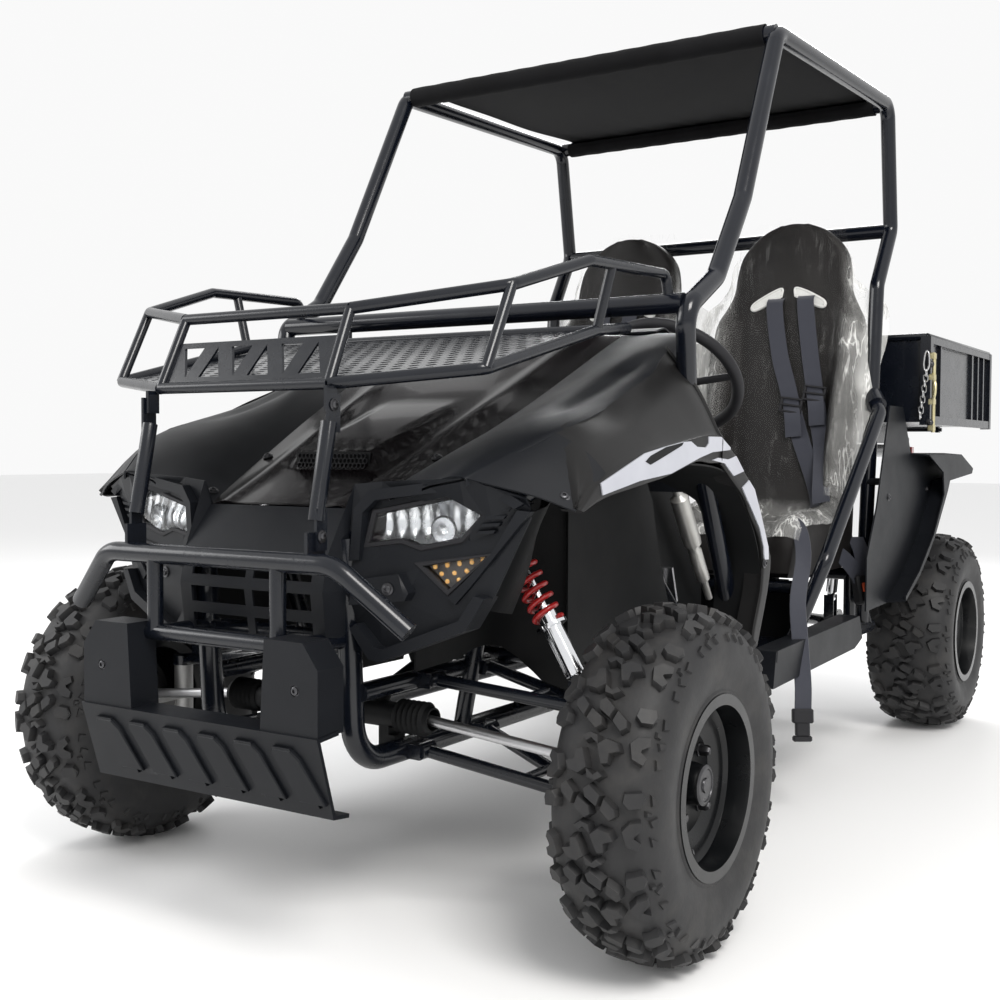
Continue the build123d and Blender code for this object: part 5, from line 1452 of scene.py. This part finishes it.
def sliderShape():
    bars = [moved(boxShape(0.058, 0.005, 0.006, 0.0012), 0, y, 0.002) for y in (-0.017, 0.0, 0.017)]
    sides = [moved(boxShape(0.006, 0.039, 0.006, 0.0012), x, 0, 0.0) for x in (-0.026, 0.026)]
    return combine(bars + sides)


def makeHarness():
    rows = seatRows(3)
    belts, sliders, loops = [], [], []
    for side in (1, -1):
        for line, z in zip(beltLines, sliderHeights):
            points = curveThrough([(x, 0, height) for x, height in line], 6)
            path, ups = [], []
            for p in points:
                place, normal = faceAt(rows, p.x, p.z, 13)
                path.append(at(side * (seatMiddle + place.x), place.y, place.z))
                ups.append(normal)
            start = path[0]
            slot = ((0.06, 0.016), (0.03, 0.014), (0.008, 0.009))
            path = [start + Vector((0, back, up)) for back, up in slot] + path
            ups = [Vector((0, -0.1, 1)), Vector((0, -0.25, 0.95)), Vector((0, -0.6, 0.75))] + ups
            belts.append(swept(path, bandSection(beltWidth, beltThickness), ups))
            # the loose tail, doubled back over the slider
            middle = min(points, key=lambda p: abs(p.z - z))
            place = faceAt(rows, middle.x, middle.z, 19)[0]
            low = faceAt(rows, middle.x + 9, middle.z - 60, 17)[0]
            lean = math.atan2(9, 60) * side
            spot = at(side * (seatMiddle + place.x), place.y, place.z)
            sliders.append(placed(sliderShape(), spot, (0, -0.987, 0.16), -lean))
            tail = [
                spot + Vector((0, 0.003, 0.02)), spot + Vector((0, 0.002, 0.0)),
                at(side * (seatMiddle + low.x), low.y - 4, low.z + 25),
                at(side * (seatMiddle + low.x + 4), low.y - 7, low.z - 20),
            ]
            section = bandSection(beltWidth * 0.95, beltThickness)
            loops.append(swept(curveThrough(tail, 5), section, (0, -0.987, 0.16)))
    addPiece("harnessBelts", belts + loops, "webbing", 50, "webbing", "harness_straps")
    addPiece("harnessSliders", sliders, "grip", 30, "grip_plastic")

    # pale trims seen in the belt slots
    trims = []
    for side in (1, -1):
        for flip in (-1, 1):
            line = slotLine(flip, 1.02, 4)
            trims.append(plate(*(
                [at(side * (seatMiddle + p.x), 1425 + (p.z - 1150) * backLean + d, p.z) for p in line]
                for d in (0, 4)
            )))
    addPiece("slotTrims", trims, "pale", 40, "seat_vinyl")


def makeBuckles():
    # the lap belt's loose end over the door opening, and the latch beside the seat
    hang = [
        (400, 1000, 616), (432, 985, 600), (452, 960, 540), (470, 876, 456), (490, 835, 376),
        (508, 806, 290), (510, 802, 236),
    ]
    lap = [(395, 1290, 540), (425, 1310, 520), (450, 1325, 490), (466, 1336, 462)]
    rear = [(432, 1405, 560), (456, 1380, 520), (474, 1352, 470), (478, 1342, 452)]
    straps = [
        swept(curveThrough([at(*p) for p in points], 6), bandSection(width, beltThickness), up)
        for points, width, up in (
            (hang, 0.036, (0.55, -0.8, 0.1)), (lap, beltWidth, (0.5, -0.6, 0.5)),
            (rear, beltWidth, (0.6, -0.6, 0.3)),
        )
    ]
    addPiece("lapBelts", straps, "webbing", 50, "webbing")
    beside, hanging = (0.8, -0.55, 0.25), (0.55, -0.8, 0.1)
    boxes = [
        placed(boxShape(*size), at(*spot), way) for size, spot, way in (
            ((0.044, 0.03, 0.013, 0.003), (510, 801, 222), hanging),
            ((0.030, 0.034, 0.011, 0.003), (510, 801, 196), hanging),
            ((0.040, 0.012, 0.012, 0.003), (510, 801, 174), hanging),
            ((0.05, 0.07, 0.026, 0.005), (476, 1338, 436), beside),
            ((0.03, 0.022, 0.004, 0.0015), (487, 1330, 444), beside),
        )
    ]
    addPiece("beltBuckles", boxes[:4], "grip", 30, "grip_plastic")
    addPiece("buckleButton", boxes[4:], "orange", 30, "red_lens")


makeHarness()
makeBuckles()
print("harness ready")


boltProfile = [
    (0.0095, 0), (0.0095, 0.0012), (0.0065, 0.0018), (0.006, 0.0042), (0.0045, 0.0052), (0.003, 0.0052),
    (0.003, 0.0028), (0, 0.0028),
]
# body screws on the left side: x, station, z, the way they face
bodyBolts = [
    (386, -143, 781, (-0.06, -0.41, 0.91)), (443, -138, 762, (0.48, -0.56, 0.67)),
    (484, -168, 708, (0.48, -0.56, 0.67)), (186, -65, 762, (0, -0.42, 0.91)),
    (174, -212, 704, (-0.35, -0.28, 0.89)), (236, -262, 567, (0.22, -0.97, 0)),
    (505, 1803, 673, (1, 0, 0)), (504, 1437, 661, (1, 0, 0)), (512.5, 560, 560, (1, 0, 0)),
]
frameBolts = [
    (200, -425, 436, (0, -1, 0)), (196, -364, 650, (1, 0, 0)), (196, -337, 840, (1, 0, 0)),
    (563, 1592, 1000, (0, -1, 0)), (563, 1592, 850, (0, -1, 0)),
]


def makeBolts():
    bolt = turned(boltProfile, 12)
    for name, table, slot in (
        ("bodyBolts", bodyBolts, "body_plastic"), ("frameBolts", frameBolts, "frame_satin"),
    ):
        spots = [
            (at(side * x, station, z), (side * nx, ny, nz), 0.0, 1.0)
            for x, station, z, (nx, ny, nz) in table for side in (1, -1)
        ]
        dress(repeated(name, bolt, spots, "screw"), slot)


# in mm; the seats are measured outwards from the wheel's disc
wheelDetail = {"nutCircle": 60, "nuts": 4, "valveCircle": 112, "nutSeat": 8, "capSeat": 34}


def makeWheelDetail():
    # four domed nuts, a ribbed hub cap and a valve stem on every wheel
    nut = turned([
        (0.0115, 0), (0.0115, 0.002), (0.009, 0.003), (0.009, 0.014), (0.006, 0.019), (0, 0.02),
    ], 6)
    cap = turned([
        (0.031, 0), (0.031, 0.003), (0.027, 0.005), (0.025, 0.005), (0.024, 0.0035), (0.012, 0.0035),
        (0.011, 0.006), (0, 0.0065),
    ], 32)
    stem = turned([(0.006, 0), (0.006, 0.012), (0.0042, 0.015), (0.0042, 0.026), (0, 0.0265)], 10)
    wheels = {
        "wheelNutsLeft": ("left_front_wheel", [(1, 579, 0, 20)]),
        "wheelNutsRight": ("right_front_wheel", [(-1, 579, 0, 20)]),
        "wheelNutsRear": ("rear_wheelset", [(1, 479, 1944, 40), (-1, 479, 1944, 40)]),
    }
    for name, (body, places) in wheels.items():
        groups = []
        for side, x, station, disc in places:
            middle = at(side * (x + disc + wheelDetail["nutSeat"]), station, 0) + Vector((0, 0, axleZ))
            face = (side, 0, 0)
            for k in range(wheelDetail["nuts"]):
                turn = math.radians(45 + 90 * k)
                reach = wheelDetail["nutCircle"] / 1000
                spot = middle + Vector((0, math.cos(turn), math.sin(turn))) * reach
                groups.append(placed(nut, spot, face))
            hub = at(side * (x + disc + wheelDetail["capSeat"]), station, 0) + Vector((0, 0, axleZ))
            groups.append(placed(cap, hub, face))
            reach = wheelDetail["valveCircle"] / 1000
            spot = middle + Vector((side * 0.01, -0.5 * reach, -0.86 * reach))
            groups.append(placed(stem, spot, (side * 0.9, 0.2, 0.35)))
        addPiece(name, groups, "nut", 35, "rim_black", body=body)


def linkShape(length, width, wire):
    # one chain link: a round rod bent to an oval
    points = []
    for k in range(16):
        turn = 2 * math.pi * k / 16
        bow = (length - width) / 2 * (1 if math.sin(turn) >= 0 else -1)
        points.append(Vector((width / 2 * math.cos(turn), width / 2 * math.sin(turn) + bow, 0)))
    return swept(points, roundSection(wire, 6), (0, 0, 1), closed=True)


hookLine = [
    (556, 1580, 1034), (561, 1579, 1026), (563, 1578, 1000), (558, 1578, 984),
    (552, 1578, 984), (549, 1578, 1000), (552, 1579, 1026), (556, 1580, 1034),
]
chainLinks = 9
handleLine = [(571, 1590, 960), (577, 1584, 950), (577, 1582, 925), (571, 1590, 912)]


def makeBedDetail():
    # spring hook and chain at the bed's front corners, and the drop side's latch rod
    groups = []
    for side in (1, -1):
        hook = curveThrough([at(side * x, station, z) for x, station, z in hookLine], 4)[:-1]
        groups.append(swept(hook, roundSection(0.0024, 8), (0, -1, 0), closed=True))
        for k in range(chainLinks):
            spot = at(side * (556 - k * 1.6), 1578 - k * 0.5, 977 - k * 13.5)
            groups.append(placed(linkShape(0.019, 0.011, 0.0016), spot, (0, -1, 0) if k % 2 else (1, 0, 0)))
    addPiece("bedChains", groups, "brightSteel", 50, "zinc_yellow", body="bed")
    rods = []
    for side in (1, -1):
        rod = turned([(0.005, -0.1), (0.005, 0.1), (0, 0.1)], 10)
        rods.append(placed(rod, at(side * 570, 1598, 925)))
        for z in (1022, 968, 905, 838):
            rods.append(placed(boxShape(0.018, 0.016, 0.016, 0.003), at(side * 566, 1598, z)))
        handle = curveThrough([at(side * x, station, z) for x, station, z in handleLine], 4)
        rods.append(swept(handle, roundSection(0.004, 8), (0, -1, 0)))
    addPiece("bedLatchRods", rods, "zinc", 40, "zinc_yellow", "bed_latches", body="bed")


makeBolts()
makeWheelDetail()
makeBedDetail()
print("small parts ready")
